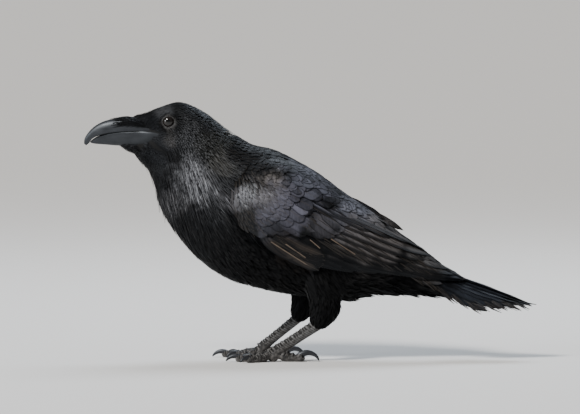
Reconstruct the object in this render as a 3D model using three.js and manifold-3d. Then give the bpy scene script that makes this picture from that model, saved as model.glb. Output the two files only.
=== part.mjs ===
// A raven standing at rest with closed bill and folded wings, life size, in millimetres.
// The bill points to -X, +Y is the bird's right side and +Z is up. The floor is z = 0,
// and the origin lies on it under the middle of the bird's length.
//
// The body is one loft along a bent axis, parted into head, neck and trunk. The wings are
// two shells that wrap the trunk, the tail is an arched, graduated fan, and the legs and
// feet are chains of round lengths, cut flat where the toes meet the floor.
import * as THREE from "three";
import { mergeVertices } from "three/addons/utils/BufferGeometryUtils.js";
import Module from "manifold-3d";

const wasm = await Module();
wasm.setup();

// ---- driving dimensions -------------------------------------------------------------------

const GAP = 0.3; // clearance kept between pieces that meet

// Body sections from the base of the bill to the under-tail coverts. Each is a plane
// through a top and a bottom point [x, z]. half is the half width, widest says how far
// down the section its widest level lies, and round gives the fullness above and below it.
const BODY = [
  { top: [-227, 308.6], bottom: [-226, 269], half: 8, widest: 0.5, round: [2, 2] },
  { top: [-206, 313.5], bottom: [-215, 254], half: 12.8, widest: 0.46, round: [2.1, 2] },
  { top: [-185, 322.5], bottom: [-203, 240], half: 19.5, widest: 0.42, round: [2.2, 1.9] },
  { top: [-162, 327.4], bottom: [-195, 220], half: 25, widest: 0.41, round: [2.2, 1.8] },
  { top: [-134, 316.2], bottom: [-189, 196], half: 29, widest: 0.43, round: [2.1, 1.9] },
  { top: [-105, 294.8], bottom: [-178, 175], half: 34.5, widest: 0.47, round: [2, 2] },
  { top: [-74, 274.5], bottom: [-162, 153], half: 44, widest: 0.5, round: [2, 2.1] },
  { top: [-44, 266.5], bottom: [-138, 127], half: 53, widest: 0.5, round: [2, 2.2] },
  { top: [-11, 250], bottom: [-102, 103], half: 57, widest: 0.5, round: [2, 2.2] },
  { top: [22, 227], bottom: [-59, 89.5], half: 56, widest: 0.52, round: [2, 2.2] },
  { top: [50, 201], bottom: [-11, 81], half: 52, widest: 0.54, round: [2, 2.2] },
  { top: [76, 173], bottom: [42, 74.5], half: 45, widest: 0.55, round: [2, 2.1] },
  { top: [101, 147], bottom: [82, 82.5], half: 36, widest: 0.54, round: [2, 2] },
  { top: [126, 128], bottom: [116, 83.5], half: 27, widest: 0.5, round: [2, 2] },
  { top: [152, 112], bottom: [150, 81.5], half: 18, widest: 0.5, round: [2, 2] },
  { top: [174, 99], bottom: [175, 81.5], half: 8, widest: 0.5, round: [2, 2] },
];
const BODY_RING = 26; // points round a body section
const HEAD_END = 4; // station where the nape begins
const NECK_END = 6; // station at the front of the shoulders
const PARTING = 0.02; // the thin cut between head, neck and trunk, in stations

// Bill: the culmen, the two cutting edges and the gonys, as [x, z] points from the base
// to the tip, with the half width of each half of the bill on the way.
const UPPER_BILL = {
  ridge: [
    [-205, 304], [-218, 306.8], [-231, 308.2], [-244, 306.8], [-255, 304.6],
    [-264.5, 301], [-273, 295.6], [-279.8, 288.4], [-284, 280.6], [-285.1, 275.6],
  ],
  edge: [
    [-197, 290.5], [-211, 291], [-226, 290.6], [-239, 290], [-251, 288.6],
    [-261, 286.6], [-269, 284], [-276, 280.2], [-281.4, 275.4], [-284.6, 273.6],
  ],
  half: [13.8, 13.2, 12, 10.3, 8.8, 7.4, 5.9, 4.2, 2.4, 0.8],
};
const LOWER_BILL = {
  ridge: [
    [-205, 269], [-217, 270], [-229, 271], [-240, 271.9], [-250, 272.6],
    [-258, 273.3], [-266, 274.1], [-271.5, 275], [-274.8, 276.2],
  ],
  edge: [
    [-198, 289.9], [-213, 290.4], [-227, 289.9], [-239, 289.3], [-250, 287.9],
    [-259, 285.9], [-267, 283.2], [-272, 280.5], [-275.2, 277.6],
  ],
  half: [13.4, 12.6, 11, 9.2, 7.6, 6.1, 4.5, 2.9, 1],
};
const BILL_RING = 12; // points round a bill section, from one cutting edge to the other

// Short stiff feathers that lap over the bill: the tuft above the nostrils and the chin.
const NASAL_TUFT = { center: [-229, 0, 299.4], semi: [22.5, 13, 8.8], pitch: 4 };
const CHIN_TUFT = { center: [-231, 0, 270.5], semi: [15, 7.5, 3.6], pitch: -7 };

// Eyes: the ball, its place on the left side, and the shallow orbit that it sits in.
const EYE = { radius: 8.4, center: [-177.2, -12.8, 303], orbit: 13, orbitY: -29.8 };

// Wings. A shell wraps an axis that falls towards the tail. Each station gives the distance
// along the axis, the levels square to the axis of the shell's ridge, its widest line and
// its lower edge, the half width at the widest line, where the upper edge starts (in
// degrees round from the ridge) and the thickness.
const WING_AXIS = { start: [-101, 216], fall: 23.5 };
const WING = [
  { along: 1.5, ridge: 24, wide: 6, low: -6, half: 47, from: 40, thick: 6 },
  { along: 10, ridge: 52, wide: -6, low: -17, half: 55, from: 44, thick: 9 },
  { along: 32, ridge: 64, wide: -11, low: -31, half: 62, from: 40, thick: 11 },
  { along: 64, ridge: 67, wide: -17, low: -41, half: 66, from: 30, thick: 12 },
  { along: 97, ridge: 63, wide: -21, low: -46, half: 66, from: 20, thick: 12 },
  { along: 130, ridge: 55.3, wide: -22, low: -48, half: 62.5, from: 10, thick: 11 },
  { along: 163, ridge: 48.5, wide: -20, low: -37, half: 56.5, from: 5, thick: 9 },
  { along: 196, ridge: 41.7, wide: -14, low: -23, half: 49, from: 3, thick: 6.5 },
  { along: 229, ridge: 35, wide: -5, low: -12, half: 40.5, from: 3, thick: 4.5 },
  { along: 262, ridge: 27.5, wide: 3, low: -1.5, half: 31, from: 4, thick: 3.2 },
  { along: 294, ridge: 21.4, wide: 8, low: 5.5, half: 21.5, from: 9, thick: 2.2 },
  { along: 321, ridge: 18.3, wide: 15.6, low: 14.6, half: 13, from: 28, thick: 1.4 },
];
const WING_STEPS = { along: 15, round: 8 };
const UPPER_SHARE = 0.6; // share of the shell's width that lies above its widest line
const TUCK = 0.1; // how far the lower edge draws in, as a share of the half width

// Tail: stations of a roof-shaped fan, from its root to the tips of the middle feathers.
const TAIL = [
  { ridge: [112, 124], half: 19, drop: 8, thick: 5 },
  { ridge: [150, 118.6], half: 25, drop: 18, thick: 4.6 },
  { ridge: [185, 106.2], half: 29, drop: 25, thick: 4.2 },
  { ridge: [211, 96.8], half: 30.5, drop: 28.5, thick: 3.6 },
  { ridge: [235, 88.1], half: 25.5, drop: 21, thick: 3 },
  { ridge: [258, 79.8], half: 18, drop: 13.5, thick: 2.4 },
  { ridge: [275, 73.6], half: 10, drop: 5.6, thick: 1.8 },
  { ridge: [285.1, 69.9], half: 3.2, drop: 0.9, thick: 1.2 },
];
const TAIL_STEPS = { along: 10, across: 6 };
const ROOF = 1.6; // how the fan falls away from its ridge: 1 is straight, 2 is round

// Legs: the feathered thigh as [x, z] places with fore-and-aft and sideways half sizes,
// then the bare shank, and the way the foot points, in degrees outwards.
const LEGS = [
  {
    name: "left", y: -33, splay: 5,
    thigh: [[8, 116], [15, 96], [20, 79], [20.8, 64], [17.5, 53], [15, 46], [13.5, 41.5]],
    thighHalf: [[27, 19], [25, 18], [20.5, 16], [19, 14.5], [16, 12], [11, 8.5], [6, 5.5]],
    shank: { top: [17, 51], foot: [-44, 11] },
  },
  {
    name: "right", y: 33, splay: 2,
    thigh: [[-8, 120], [-4, 100], [-2.5, 82], [-3, 67], [-7.5, 56.5], [-10.5, 50], [-12.5, 45.5]],
    thighHalf: [[26, 19], [24, 18], [20, 16], [18.5, 14.5], [14.5, 12], [9.5, 8.5], [5.5, 5.5]],
    shank: { top: [-8, 55], foot: [-62, 11] },
  },
];
const SHANK_HALF = [[6.6, 5], [6.2, 4.5], [5.9, 4.3], [6, 4.6], [6.8, 6]];
const LEG_RING = 10;

// Toes: bearing from straight ahead (positive is outwards), length from the foot's joint,
// half thickness at root and end, and the claw's length, root radius and sweep in degrees.
const TOES = [
  { name: "middle", bearing: 0, length: 44, half: [5.2, 4.2], claw: [22, 3.2, 92] },
  { name: "inner", bearing: -25, length: 32, half: [4.9, 4], claw: [19.5, 3, 95] },
  { name: "outer", bearing: 26, length: 36, half: [4.8, 3.8], claw: [18, 2.8, 95] },
  { name: "hallux", bearing: 176, length: 34, half: [5.6, 4.8], claw: [32, 3.8, 122] },
];
const TOE_STEPS = 7;
const TOE_RING = 8;
const TOE_PADS = 3; // swellings along a toe
const PAD_SWELL = 0.13; // how much a pad stands out, as a share of the toe's thickness
const SOLE = 0.6; // depth of the flats under the toes
const KNUCKLE = 4; // how far the first joint of a toe arches above the floor
const CLAW_TIP = 0.4; // radius of a claw's tip, and its height above the floor
const CLAW_STEPS = 5;
const CLAW_RING = 6;

// ---- materials ----------------------------------------------------------------------------

const paint = (color, roughness) =>
  new THREE.MeshStandardMaterial({ color, roughness, metalness: 0 });
const plumage = paint(0x16161a, 0.5);
const wingPlumage = paint(0x20212b, 0.4);
const horn = paint(0x2c2e33, 0.35);
const legSkin = paint(0x2b2a28, 0.6);
const eyeBall = paint(0x1a100b, 0.05);

// ---- curves and solids --------------------------------------------------------------------

const radians = THREE.MathUtils.degToRad;
const column = (rows, key) => rows.map((row) => row[key]);

// The smooth value at place t, counted in entries, of a list of numbers or of arrays.
function at(list, t) {
  const last = list.length - 1;
  const i = Math.min(Math.max(Math.floor(t), 0), last - 1);
  const f = t - i;
  const four = [i - 1, i, i + 1, i + 2].map((k) => list[Math.min(Math.max(k, 0), last)]);
  const cubic = (a, b, c, d) =>
    b + 0.5 * f * (c - a + f * (2 * a - 5 * b + 4 * c - d + f * (3 * (b - c) + d - a)));
  if (!Array.isArray(four[0])) return cubic(...four);
  return four[0].map((_, k) => cubic(...four.map((entry) => entry[k])));
}

// The unit direction from one [x, z] point to another, and their distance.
function between([fromX, fromZ], [toX, toZ]) {
  const length = Math.hypot(toX - fromX, toZ - fromZ);
  return { length, x: (toX - fromX) / length, z: (toZ - fromZ) / length };
}

// Rings with one more at each end, pushed outwards by grow.
function lengthened(rings, grow) {
  const pushed = (ring, next) => {
    const way = next[0].clone().sub(ring[0]).normalize().multiplyScalar(-grow);
    return ring.map((point) => point.clone().add(way));
  };
  return [pushed(rings[0], rings[1]), ...rings, pushed(rings.at(-1), rings.at(-2))];
}

// The solid inside a surface through rings of equal length, with a fan over each end.
function solidThrough(rings, grow = 0) {
  const all = grow > 0 ? lengthened(rings, grow) : rings;
  const n = all[0].length;
  const points = all.flat();
  const faces = [];
  for (let r = 0; r < all.length - 1; r++)
    for (let k = 0; k < n; k++) {
      const a = r * n + k;
      const b = r * n + ((k + 1) % n);
      faces.push(a, b, b + n, a, b + n, a + n);
    }
  for (const first of [0, (all.length - 1) * n]) {
    const middle = points.length;
    const sum = new THREE.Vector3();
    for (let k = 0; k < n; k++) sum.add(points[first + k]);
    points.push(sum.divideScalar(n));
    for (let k = 0; k < n; k++) {
      const pair = [first + k, first + ((k + 1) % n)];
      faces.push(middle, ...(first ? pair : pair.reverse()));
    }
  }
  const geometry = new THREE.BufferGeometry().setFromPoints(points);
  return solidOf(geometry.setIndex(faces));
}

function solidOf(geometry) {
  const bare = geometry.clone();
  for (const name of ["normal", "uv"]) bare.deleteAttribute(name);
  const merged = mergeVertices(bare, 1e-4);
  const triVerts = new Uint32Array(merged.index.array);
  const vertProperties = new Float32Array(merged.attributes.position.array);
  const solid = new wasm.Manifold(new wasm.Mesh({ numProp: 3, vertProperties, triVerts }));
  if (solid.volume() >= 0) return solid;
  triVerts.reverse(); // the rings ran the other way round, so the faces pointed inwards
  return new wasm.Manifold(new wasm.Mesh({ numProp: 3, vertProperties, triVerts }));
}

function geometryOf(solid) {
  const { numProp, vertProperties, triVerts } = solid.getMesh();
  const count = vertProperties.length / numProp;
  const places = new Float32Array(count * 3);
  for (let i = 0; i < count; i++)
    places.set(vertProperties.subarray(i * numProp, i * numProp + 3), i * 3);
  const geometry = new THREE.BufferGeometry();
  geometry.setAttribute("position", new THREE.BufferAttribute(places, 3));
  return geometry.setIndex(new THREE.BufferAttribute(triVerts, 1));
}

// A solid less the ones that it meets, without the crumbs that a cut can leave.
function cutBy(solid, ...others) {
  const left = others.reduce((rest, other) => rest.subtract(other), solid);
  return left.decompose().reduce((a, b) => (a.volume() > b.volume() ? a : b));
}

const mirrored = (solid) => solid.mirror([0, 1, 0]);

// ---- head, neck and trunk -----------------------------------------------------------------

const signedPower = (value, exponent) => Math.sign(value) * Math.abs(value) ** exponent;

function bodyRing(t, grow) {
  const top = at(column(BODY, "top"), t);
  const up = between(at(column(BODY, "bottom"), t), top);
  const half = at(column(BODY, "half"), t) + grow;
  const round = at(column(BODY, "round"), t);
  const above = at(column(BODY, "widest"), t) * up.length;
  const below = up.length - above;
  return Array.from({ length: BODY_RING }, (_, k) => {
    const turn = (2 * Math.PI * k) / BODY_RING;
    const upper = Math.cos(turn) > 0;
    const bend = 2 / round[upper ? 0 : 1];
    const rise = signedPower(Math.cos(turn), bend) * ((upper ? above : below) + grow);
    const across = signedPower(Math.sin(turn), bend) * half;
    return new THREE.Vector3(top[0] + up.x * (rise - above), across, top[1] + up.z * (rise - above));
  });
}

function bodyLength(from, to, steps, grow = 0) {
  const place = (i) => from + ((to - from) * i) / steps;
  const rings = Array.from({ length: steps + 1 }, (_, i) => bodyRing(place(i), grow));
  return solidThrough(rings, grow);
}

function featherTuft({ center, semi, pitch }) {
  const shape = new THREE.SphereGeometry(1, 12, 6).scale(...semi);
  return solidOf(shape.rotateY(-radians(pitch)).translate(...center));
}

function ball(radius, [x, y, z], detail = 12) {
  return solidOf(new THREE.SphereGeometry(radius, detail, detail * 0.75).translate(x, y, z));
}

// ---- bill ---------------------------------------------------------------------------------

// One half of the bill, between its ridge and its two cutting edges.
function billHalf({ ridge, edge, half }, grow = 0) {
  const rings = ridge.map((ridgePoint, i) => {
    const foot = edge[i];
    const up = between(foot, ridgePoint);
    const reach = half[i] + grow;
    const point = (rise, across) =>
      new THREE.Vector3(foot[0] + up.x * rise, across, foot[1] + up.z * rise);
    const arch = Array.from({ length: BILL_RING }, (_, k) => {
      const turn = (Math.PI * k) / (BILL_RING - 1);
      const rise = signedPower(Math.sin(turn), 0.85) * (up.length + grow);
      return point(rise, signedPower(Math.cos(turn), 0.8) * reach);
    });
    return [...arch, point(-grow, -reach * 0.6), point(-grow, reach * 0.6)];
  });
  return solidThrough(rings, grow);
}

// ---- wings --------------------------------------------------------------------------------

const wingFall = radians(WING_AXIS.fall);

// A point of the left wing at station t. share runs from the upper edge, 0, to the lower
// edge, 1, and sunk is the depth below the outer surface.
function wingPoint(t, share, sunk) {
  const value = (key) => at(column(WING, key), t);
  const wide = value("wide");
  const half = value("half") - sunk;
  let level, across;
  if (share < UPPER_SHARE) {
    const from = radians(value("from"));
    const turn = from + (Math.PI / 2 - from) * (share / UPPER_SHARE);
    level = wide + (value("ridge") - wide - sunk) * Math.cos(turn);
    across = half * Math.sin(turn) ** 0.9;
  } else {
    const lower = (share - UPPER_SHARE) / (1 - UPPER_SHARE);
    level = wide + (value("low") - wide) * lower;
    across = half * (1 - TUCK * lower ** 2);
  }
  const reach = value("along");
  return new THREE.Vector3(
    WING_AXIS.start[0] + reach * Math.cos(wingFall) + level * Math.sin(wingFall),
    -across,
    WING_AXIS.start[1] - reach * Math.sin(wingFall) + level * Math.cos(wingFall),
  );
}

function leftWing() {
  const { along, round } = WING_STEPS;
  const rings = [];
  for (let i = 0; i <= along; i++) {
    const t = ((WING.length - 1) * i) / along;
    const thick = at(column(WING, "thick"), t);
    const outer = [];
    const inner = [];
    for (let k = 0; k <= round; k++) {
      const rim = Math.min(1, 0.35 + Math.sin((Math.PI * k) / round) * 1.6); // thinner edges
      outer.push(wingPoint(t, k / round, 0));
      inner.unshift(wingPoint(t, k / round, thick * rim));
    }
    rings.push([...outer, ...inner]);
  }
  return solidThrough(rings);
}

// ---- tail ---------------------------------------------------------------------------------

function tailFan() {
  const { along, across } = TAIL_STEPS;
  const rings = [];
  for (let i = 0; i <= along; i++) {
    const t = ((TAIL.length - 1) * i) / along;
    const [x, z] = at(column(TAIL, "ridge"), t);
    const [half, drop, thick] = ["half", "drop", "thick"].map((key) => at(column(TAIL, key), t));
    const upper = [];
    const under = [];
    for (let k = 0; k <= across; k++) {
      const side = (2 * k) / across - 1;
      const fall = drop * Math.abs(side) ** ROOF;
      const depth = thick * (1 - 0.6 * side ** 2);
      upper.push(new THREE.Vector3(x, side * half, z - fall));
      under.unshift(new THREE.Vector3(x, side * half, z - fall - depth));
    }
    rings.push([...upper, ...under]);
  }
  return solidThrough(rings);
}

// ---- legs ---------------------------------------------------------------------------------

// A chain of oval rings square to a path of points, with [in plane, sideways] half sizes.
function chain(path, halves, grow = 0, ring = LEG_RING) {
  const side = new THREE.Vector3();
  const rings = path.map((point, i) => {
    const way = path[Math.min(i + 1, path.length - 1)].clone().sub(path[Math.max(i - 1, 0)]);
    side.set(-way.y, way.x, 0);
    if (side.lengthSq() < 1e-9) side.set(0, 1, 0);
    side.normalize();
    const up = side.clone().cross(way).normalize();
    return Array.from({ length: ring }, (_, k) => {
      const turn = (2 * Math.PI * k) / ring;
      const lift = up.clone().multiplyScalar(Math.cos(turn) * (halves[i][0] + grow));
      const aside = side.clone().multiplyScalar(Math.sin(turn) * (halves[i][1] + grow));
      return point.clone().add(lift).add(aside);
    });
  });
  return solidThrough(rings, grow);
}

function thigh(leg, grow = 0) {
  const steps = 8;
  const span = (leg.thigh.length - 1) / steps;
  const halves = Array.from({ length: steps + 1 }, (_, i) => at(leg.thighHalf, i * span));
  const rings = halves.map(([fore, aside], i) => {
    const [x, z] = at(leg.thigh, i * span);
    return Array.from({ length: LEG_RING + 4 }, (_, k) => {
      const turn = (2 * Math.PI * k) / (LEG_RING + 4);
      const y = leg.y + Math.sin(turn) * (aside + grow);
      return new THREE.Vector3(x + Math.cos(turn) * (fore + grow), y, z);
    });
  });
  return solidThrough(rings, grow);
}

function shank(leg, grow = 0) {
  const { top, foot } = leg.shank;
  const steps = 4;
  const place = (i) => {
    const f = i / steps;
    return new THREE.Vector3(top[0] + (foot[0] - top[0]) * f, leg.y, top[1] + (foot[1] - top[1]) * f);
  };
  const path = Array.from({ length: steps + 1 }, (_, i) => place(i));
  const halves = path.map((_, i) => at(SHANK_HALF, ((SHANK_HALF.length - 1) * i) / steps));
  const knob = ball(7 + grow, [foot[0] - 1, leg.y, 7 - SOLE], 8);
  return chain(path, halves, grow).add(knob);
}

const floor = solidOf(new THREE.BoxGeometry(400, 400, 40).translate(0, 0, -20));

// The level way a toe points from the foot's joint.
function toeWay(leg, toe) {
  const outwards = Math.sign(leg.y);
  const turn = radians(leg.splay + toe.bearing);
  return new THREE.Vector3(-Math.cos(turn), outwards * Math.sin(turn), 0);
}

function toeSolid(leg, toe, grow = 0) {
  const way = toeWay(leg, toe);
  const path = [];
  const halves = [];
  for (let i = 0; i <= TOE_STEPS; i++) {
    const f = i / TOE_STEPS;
    const bulge = 1 + PAD_SWELL * Math.cos(2 * Math.PI * TOE_PADS * f);
    const half = (toe.half[0] + (toe.half[1] - toe.half[0]) * f) * bulge;
    const arch = KNUCKLE * Math.exp(-(((f - 0.12) / 0.2) ** 2));
    const point = way.clone().multiplyScalar(2 + (toe.length - 2) * f);
    path.push(point.add(new THREE.Vector3(leg.shank.foot[0], leg.y, half - SOLE + arch)));
    halves.push([half, half * 0.92]);
  }
  return chain(path, halves, grow, TOE_RING);
}

function clawSolid(leg, toe) {
  const way = toeWay(leg, toe);
  const [length, root, sweepDegrees] = toe.claw;
  const sweep = radians(sweepDegrees);
  const radius = length / sweep;
  const startZ = toe.half[1] * (1 + PAD_SWELL) - SOLE + 0.6;
  const chordFall = (2 * CLAW_TIP - startZ) / (2 * radius * Math.sin(sweep / 2));
  const first = sweep / 2 + Math.asin(chordFall);
  const path = [];
  const halves = [];
  for (let i = 0; i <= CLAW_STEPS; i++) {
    const f = i / CLAW_STEPS;
    const turn = first - sweep * f;
    const ahead = toe.length - 2.5 + radius * (Math.sin(first) - Math.sin(turn));
    const z = startZ + radius * (Math.cos(turn) - Math.cos(first));
    const thick = CLAW_TIP + (root - CLAW_TIP) * (1 - f) ** 0.75;
    path.push(way.clone().multiplyScalar(ahead).add(new THREE.Vector3(leg.shank.foot[0], leg.y, z)));
    halves.push([thick, thick * 0.8]);
  }
  return chain(path, halves, 0, CLAW_RING);
}

// ---- assembly -----------------------------------------------------------------------------

const raven = new THREE.Group();

function addNode(name, solid, material) {
  const mesh = new THREE.Mesh(geometryOf(solid), material);
  mesh.name = name;
  raven.add(mesh);
}

const tailEnd = BODY.length - 1;
const leftEye = ball(EYE.radius, EYE.center);
const eyeSocket = ball(EYE.radius + GAP, EYE.center);
const orbit = ball(EYE.orbit, [EYE.center[0], EYE.orbitY, EYE.center[2]]);
const skull = bodyLength(0, HEAD_END, 8).add(featherTuft(NASAL_TUFT)).add(featherTuft(CHIN_TUFT));
const headCuts = [billHalf(UPPER_BILL, GAP), billHalf(LOWER_BILL, GAP)];
for (const side of [eyeSocket, orbit]) headCuts.push(side, mirrored(side));
addNode("head", cutBy(skull, ...headCuts), plumage);
addNode("neck", bodyLength(HEAD_END + PARTING, NECK_END, 4), plumage);
addNode("trunk", bodyLength(NECK_END + PARTING, tailEnd, 16), plumage);
addNode("bill_upper", billHalf(UPPER_BILL), horn);
addNode("bill_lower", cutBy(billHalf(LOWER_BILL), billHalf(UPPER_BILL, GAP)), horn);
addNode("eye_left", leftEye, eyeBall);
addNode("eye_right", mirrored(leftEye), eyeBall);

const bodyRoom = bodyLength(NECK_END - 1, tailEnd, 18, GAP);
const wing = cutBy(leftWing(), bodyRoom);
addNode("wing_left", wing, wingPlumage);
addNode("wing_right", mirrored(wing), wingPlumage);
addNode("tail", cutBy(tailFan(), bodyRoom), plumage);

for (const leg of LEGS) {
  const upper = cutBy(thigh(leg), bodyRoom);
  addNode(`thigh_${leg.name}`, upper, plumage);
  addNode(`shank_${leg.name}`, cutBy(shank(leg), thigh(leg, GAP), bodyRoom, floor), legSkin);
  const rooms = [shank(leg, GAP), floor];
  for (const toe of TOES) {
    addNode(`toe_${toe.name}_${leg.name}`, cutBy(toeSolid(leg, toe), ...rooms), legSkin);
    const room = toeSolid(leg, toe, GAP);
    addNode(`claw_${toe.name}_${leg.name}`, cutBy(clawSolid(leg, toe), room), horn);
    rooms.push(room);
  }
}

export default raven;
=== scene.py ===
import math

import bpy
import numpy as np
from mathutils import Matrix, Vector


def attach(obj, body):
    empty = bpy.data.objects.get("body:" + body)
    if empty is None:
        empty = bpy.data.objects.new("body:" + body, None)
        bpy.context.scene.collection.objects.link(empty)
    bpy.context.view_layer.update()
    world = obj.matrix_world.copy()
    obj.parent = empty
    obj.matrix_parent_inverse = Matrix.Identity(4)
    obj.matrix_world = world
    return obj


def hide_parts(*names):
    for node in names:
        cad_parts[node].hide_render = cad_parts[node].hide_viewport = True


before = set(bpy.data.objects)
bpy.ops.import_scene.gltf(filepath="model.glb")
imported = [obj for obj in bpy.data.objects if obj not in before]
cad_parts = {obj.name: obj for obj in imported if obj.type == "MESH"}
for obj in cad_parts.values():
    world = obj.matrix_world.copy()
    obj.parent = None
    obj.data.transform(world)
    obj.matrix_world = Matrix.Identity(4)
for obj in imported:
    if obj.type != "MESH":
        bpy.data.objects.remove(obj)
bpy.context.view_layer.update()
rng = np.random.default_rng(1417)

# The bill points to -X, the bird's right side is +Y and the floor is z = 0.
# Shapes are worked out in millimetres and turned into metres as a mesh is made.
mm = 0.001


# Curves, surfaces and vectors

def curve(rows, place):  # the smooth value at a place counted in rows
    rows = np.asarray(rows, float)
    place = np.clip(np.asarray(place, float), 0, len(rows) - 1)
    i = np.clip(np.floor(place).astype(int), 0, len(rows) - 2)
    f = place - i
    if rows.ndim > 1:
        f = f[..., None]
    a, b, c, d = (rows[np.clip(i + k, 0, len(rows) - 1)] for k in (-1, 0, 1, 2))
    return b + 0.5 * f * (c - a + f * (2 * a - 5 * b + 4 * c - d + f * (3 * (b - c) + d - a)))


def signedPower(value, exponent):
    return np.sign(value) * np.abs(value) ** exponent


def ramp(value, low, high):  # 0 below low, 1 above high, eased between
    f = np.clip((value - low) / (high - low), 0, 1)
    return f * f * (3 - 2 * f)


def unit(vectors):
    return vectors / np.maximum(np.linalg.norm(vectors, axis=-1, keepdims=True), 1e-9)


def stack(*columns):
    return np.stack(np.broadcast_arrays(*columns), axis=-1)


# The body from the base of the bill to the under-tail coverts, one row of figures per station

body = {
    "top": [(-227, 308.6), (-206, 313.5), (-185, 322.5), (-162, 327.4), (-134, 316.2), (-105, 294.8),
            (-74, 274.5), (-44, 266.5), (-11, 250), (22, 227), (50, 201), (76, 173),
            (101, 147), (126, 128), (152, 112), (174, 99)],
    "bottom": [(-226, 269), (-215, 254), (-203, 240), (-195, 220), (-189, 196), (-178, 175),
               (-162, 153), (-138, 127), (-102, 103), (-59, 89.5), (-11, 81), (42, 74.5),
               (82, 82.5), (116, 83.5), (150, 81.5), (175, 81.5)],
    "half": [8, 12.8, 19.5, 25, 29, 34.5, 44, 53, 57, 56, 52, 45, 36, 27, 18, 8],
    "widest": [0.5, 0.46, 0.42, 0.41, 0.43, 0.47, 0.5, 0.5, 0.5, 0.52, 0.54, 0.55, 0.54, 0.5, 0.5, 0.5],
    "roundAbove": [2, 2.1, 2.2, 2.2, 2.1, 2, 2, 2, 2, 2, 2, 2, 2, 2, 2, 2],
    "roundBelow": [2, 2, 1.9, 1.8, 1.9, 2, 2.1, 2.2, 2.2, 2.2, 2.2, 2.1, 2, 2, 2, 2],
    "coat": [1.2, 1.5, 1.8, 2.4, 4, 5.5, 6.5, 7, 7, 7, 7, 7, 6.5, 5.5, 4.5, 3],  # depth of feathers
}
eye = {"radius": 8.4, "x": -177.2, "y": 12.8, "z": 303, "opening": 6.2, "dish": 4.4, "dishRadius": 9.2}


def sinkAtEyes(points):  # the shallow orbit round each eye
    away = np.hypot(points[..., 0] - eye["x"], points[..., 2] - eye["z"])
    depth = eye["dish"] * np.exp(-(away / eye["dishRadius"]) ** 4)
    sunk = points.copy()
    sunk[..., 1] -= np.sign(points[..., 1]) * np.minimum(depth, np.abs(points[..., 1]))
    return sunk


def bodySurface(place, turn, grow=0.0):  # turn 0 is the back, pi the belly, + the bird's right
    top, bottom = curve(body["top"], place), curve(body["bottom"], place)
    tall = np.linalg.norm(top - bottom, axis=-1)
    up = (top - bottom) / tall[..., None]
    above = curve(body["widest"], place) * tall
    below = tall - above
    upper = np.cos(turn) > 0
    bend = 2 / np.where(upper, curve(body["roundAbove"], place), curve(body["roundBelow"], place))
    rise = signedPower(np.cos(turn), bend) * (np.where(upper, above, below) + grow) - above
    across = signedPower(np.sin(turn), bend) * (curve(body["half"], place) + grow)
    return sinkAtEyes(stack(top[..., 0] + up[..., 0] * rise, across, top[..., 1] + up[..., 1] * rise))


# The folded wing, measured along an axis that falls towards the tail and square to it

wing = {
    "start": (-101, 216), "fall": math.radians(23.5),
    "along": [1.5, 10, 32, 64, 97, 130, 163, 196, 229, 262, 294, 321],
    "ridge": [24, 52, 64, 67, 63, 55.3, 48.5, 41.7, 35, 27.5, 21.4, 18.3],
    "wide": [6, -6, -11, -17, -21, -22, -20, -14, -5, 3, 8, 15.6],
    "low": [-6, -17, -31, -41, -46, -48, -37, -23, -12, -1.5, 5.5, 14.6],
    "half": [47, 55, 62, 66, 66, 62.5, 56.5, 49, 40.5, 31, 21.5, 13],
    "tuck": 0.1,
}


def wingSurface(side):
    # along and level follow the wing's side; a level past the ridge carries on over the back
    def surface(along, level, grow=0.0):
        place = np.interp(along, wing["along"], np.arange(len(wing["along"])))
        ridge, wide, low, half = (curve(wing[key], place) for key in ("ridge", "wide", "low", "half"))
        climb = (level - wide) / (ridge - wide)
        turn = np.where(climb < 0.95, np.arcsin(np.clip(climb, 0, 0.95)), math.asin(0.95) + (climb - 0.95) * 3.2)
        turn = np.clip(turn, 0, 2.4)
        drop = np.clip((wide - level) / np.maximum(wide - low, 4), 0, 1.25)
        upper = level > wide
        lift = np.where(upper, wide + (ridge - wide + grow) * np.sin(turn), level)
        across = np.where(upper, (half + grow) * signedPower(np.cos(turn), 0.9),
                          half * (1 - wing["tuck"] * drop ** 2) + grow)
        return stack(
            wing["start"][0] + along * math.cos(wing["fall"]) + lift * math.sin(wing["fall"]),
            side * across,
            wing["start"][1] - along * math.sin(wing["fall"]) + lift * math.cos(wing["fall"]))
    return surface


def wingPlace(points):  # along and level of points of the side view
    dx, dz = points[..., 0] - wing["start"][0], points[..., 2] - wing["start"][1]
    along = dx * math.cos(wing["fall"]) - dz * math.sin(wing["fall"])
    return along, dx * math.sin(wing["fall"]) + dz * math.cos(wing["fall"])


def underWing(points, margin):
    along, level = wingPlace(points)
    place = np.interp(along, wing["along"], np.arange(len(wing["along"])))
    inside = (level > curve(wing["low"], place) + margin) & (level < curve(wing["ridge"], place) - 16)
    return inside & (along > 6 + margin) & (along < 230)


# The tail, a fan shaped like a low roof

tail = {
    "ridge": [(112, 124), (150, 118.6), (185, 106.2), (211, 96.8), (235, 88.1), (258, 79.8), (275, 73.6), (285.1, 69.9)],
    "half": [19, 25, 29, 30.5, 25.5, 18, 10, 3.2],
    "drop": [8, 18, 25, 28.5, 21, 13.5, 5.6, 0.9],
    "roof": 1.6,
}


def tailSurface(reach, across, grow=0.0):  # reach is x, across is y, both in millimetres
    place = np.interp(reach, [x for x, z in tail["ridge"]], np.arange(len(tail["ridge"])))
    spine = curve(tail["ridge"], place)
    wide = np.interp(reach, [112, 150, 185, 211, 286], [19, 25, 29, 30.5, 36])
    drop = np.interp(reach, [112, 150, 185, 211, 286], [8, 18, 25, 28.5, 30])
    fall = drop * np.abs(across / wide) ** tail["roof"]
    return stack(reach, across, spine[..., 1] - fall + grow)


# Legs and feet

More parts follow.
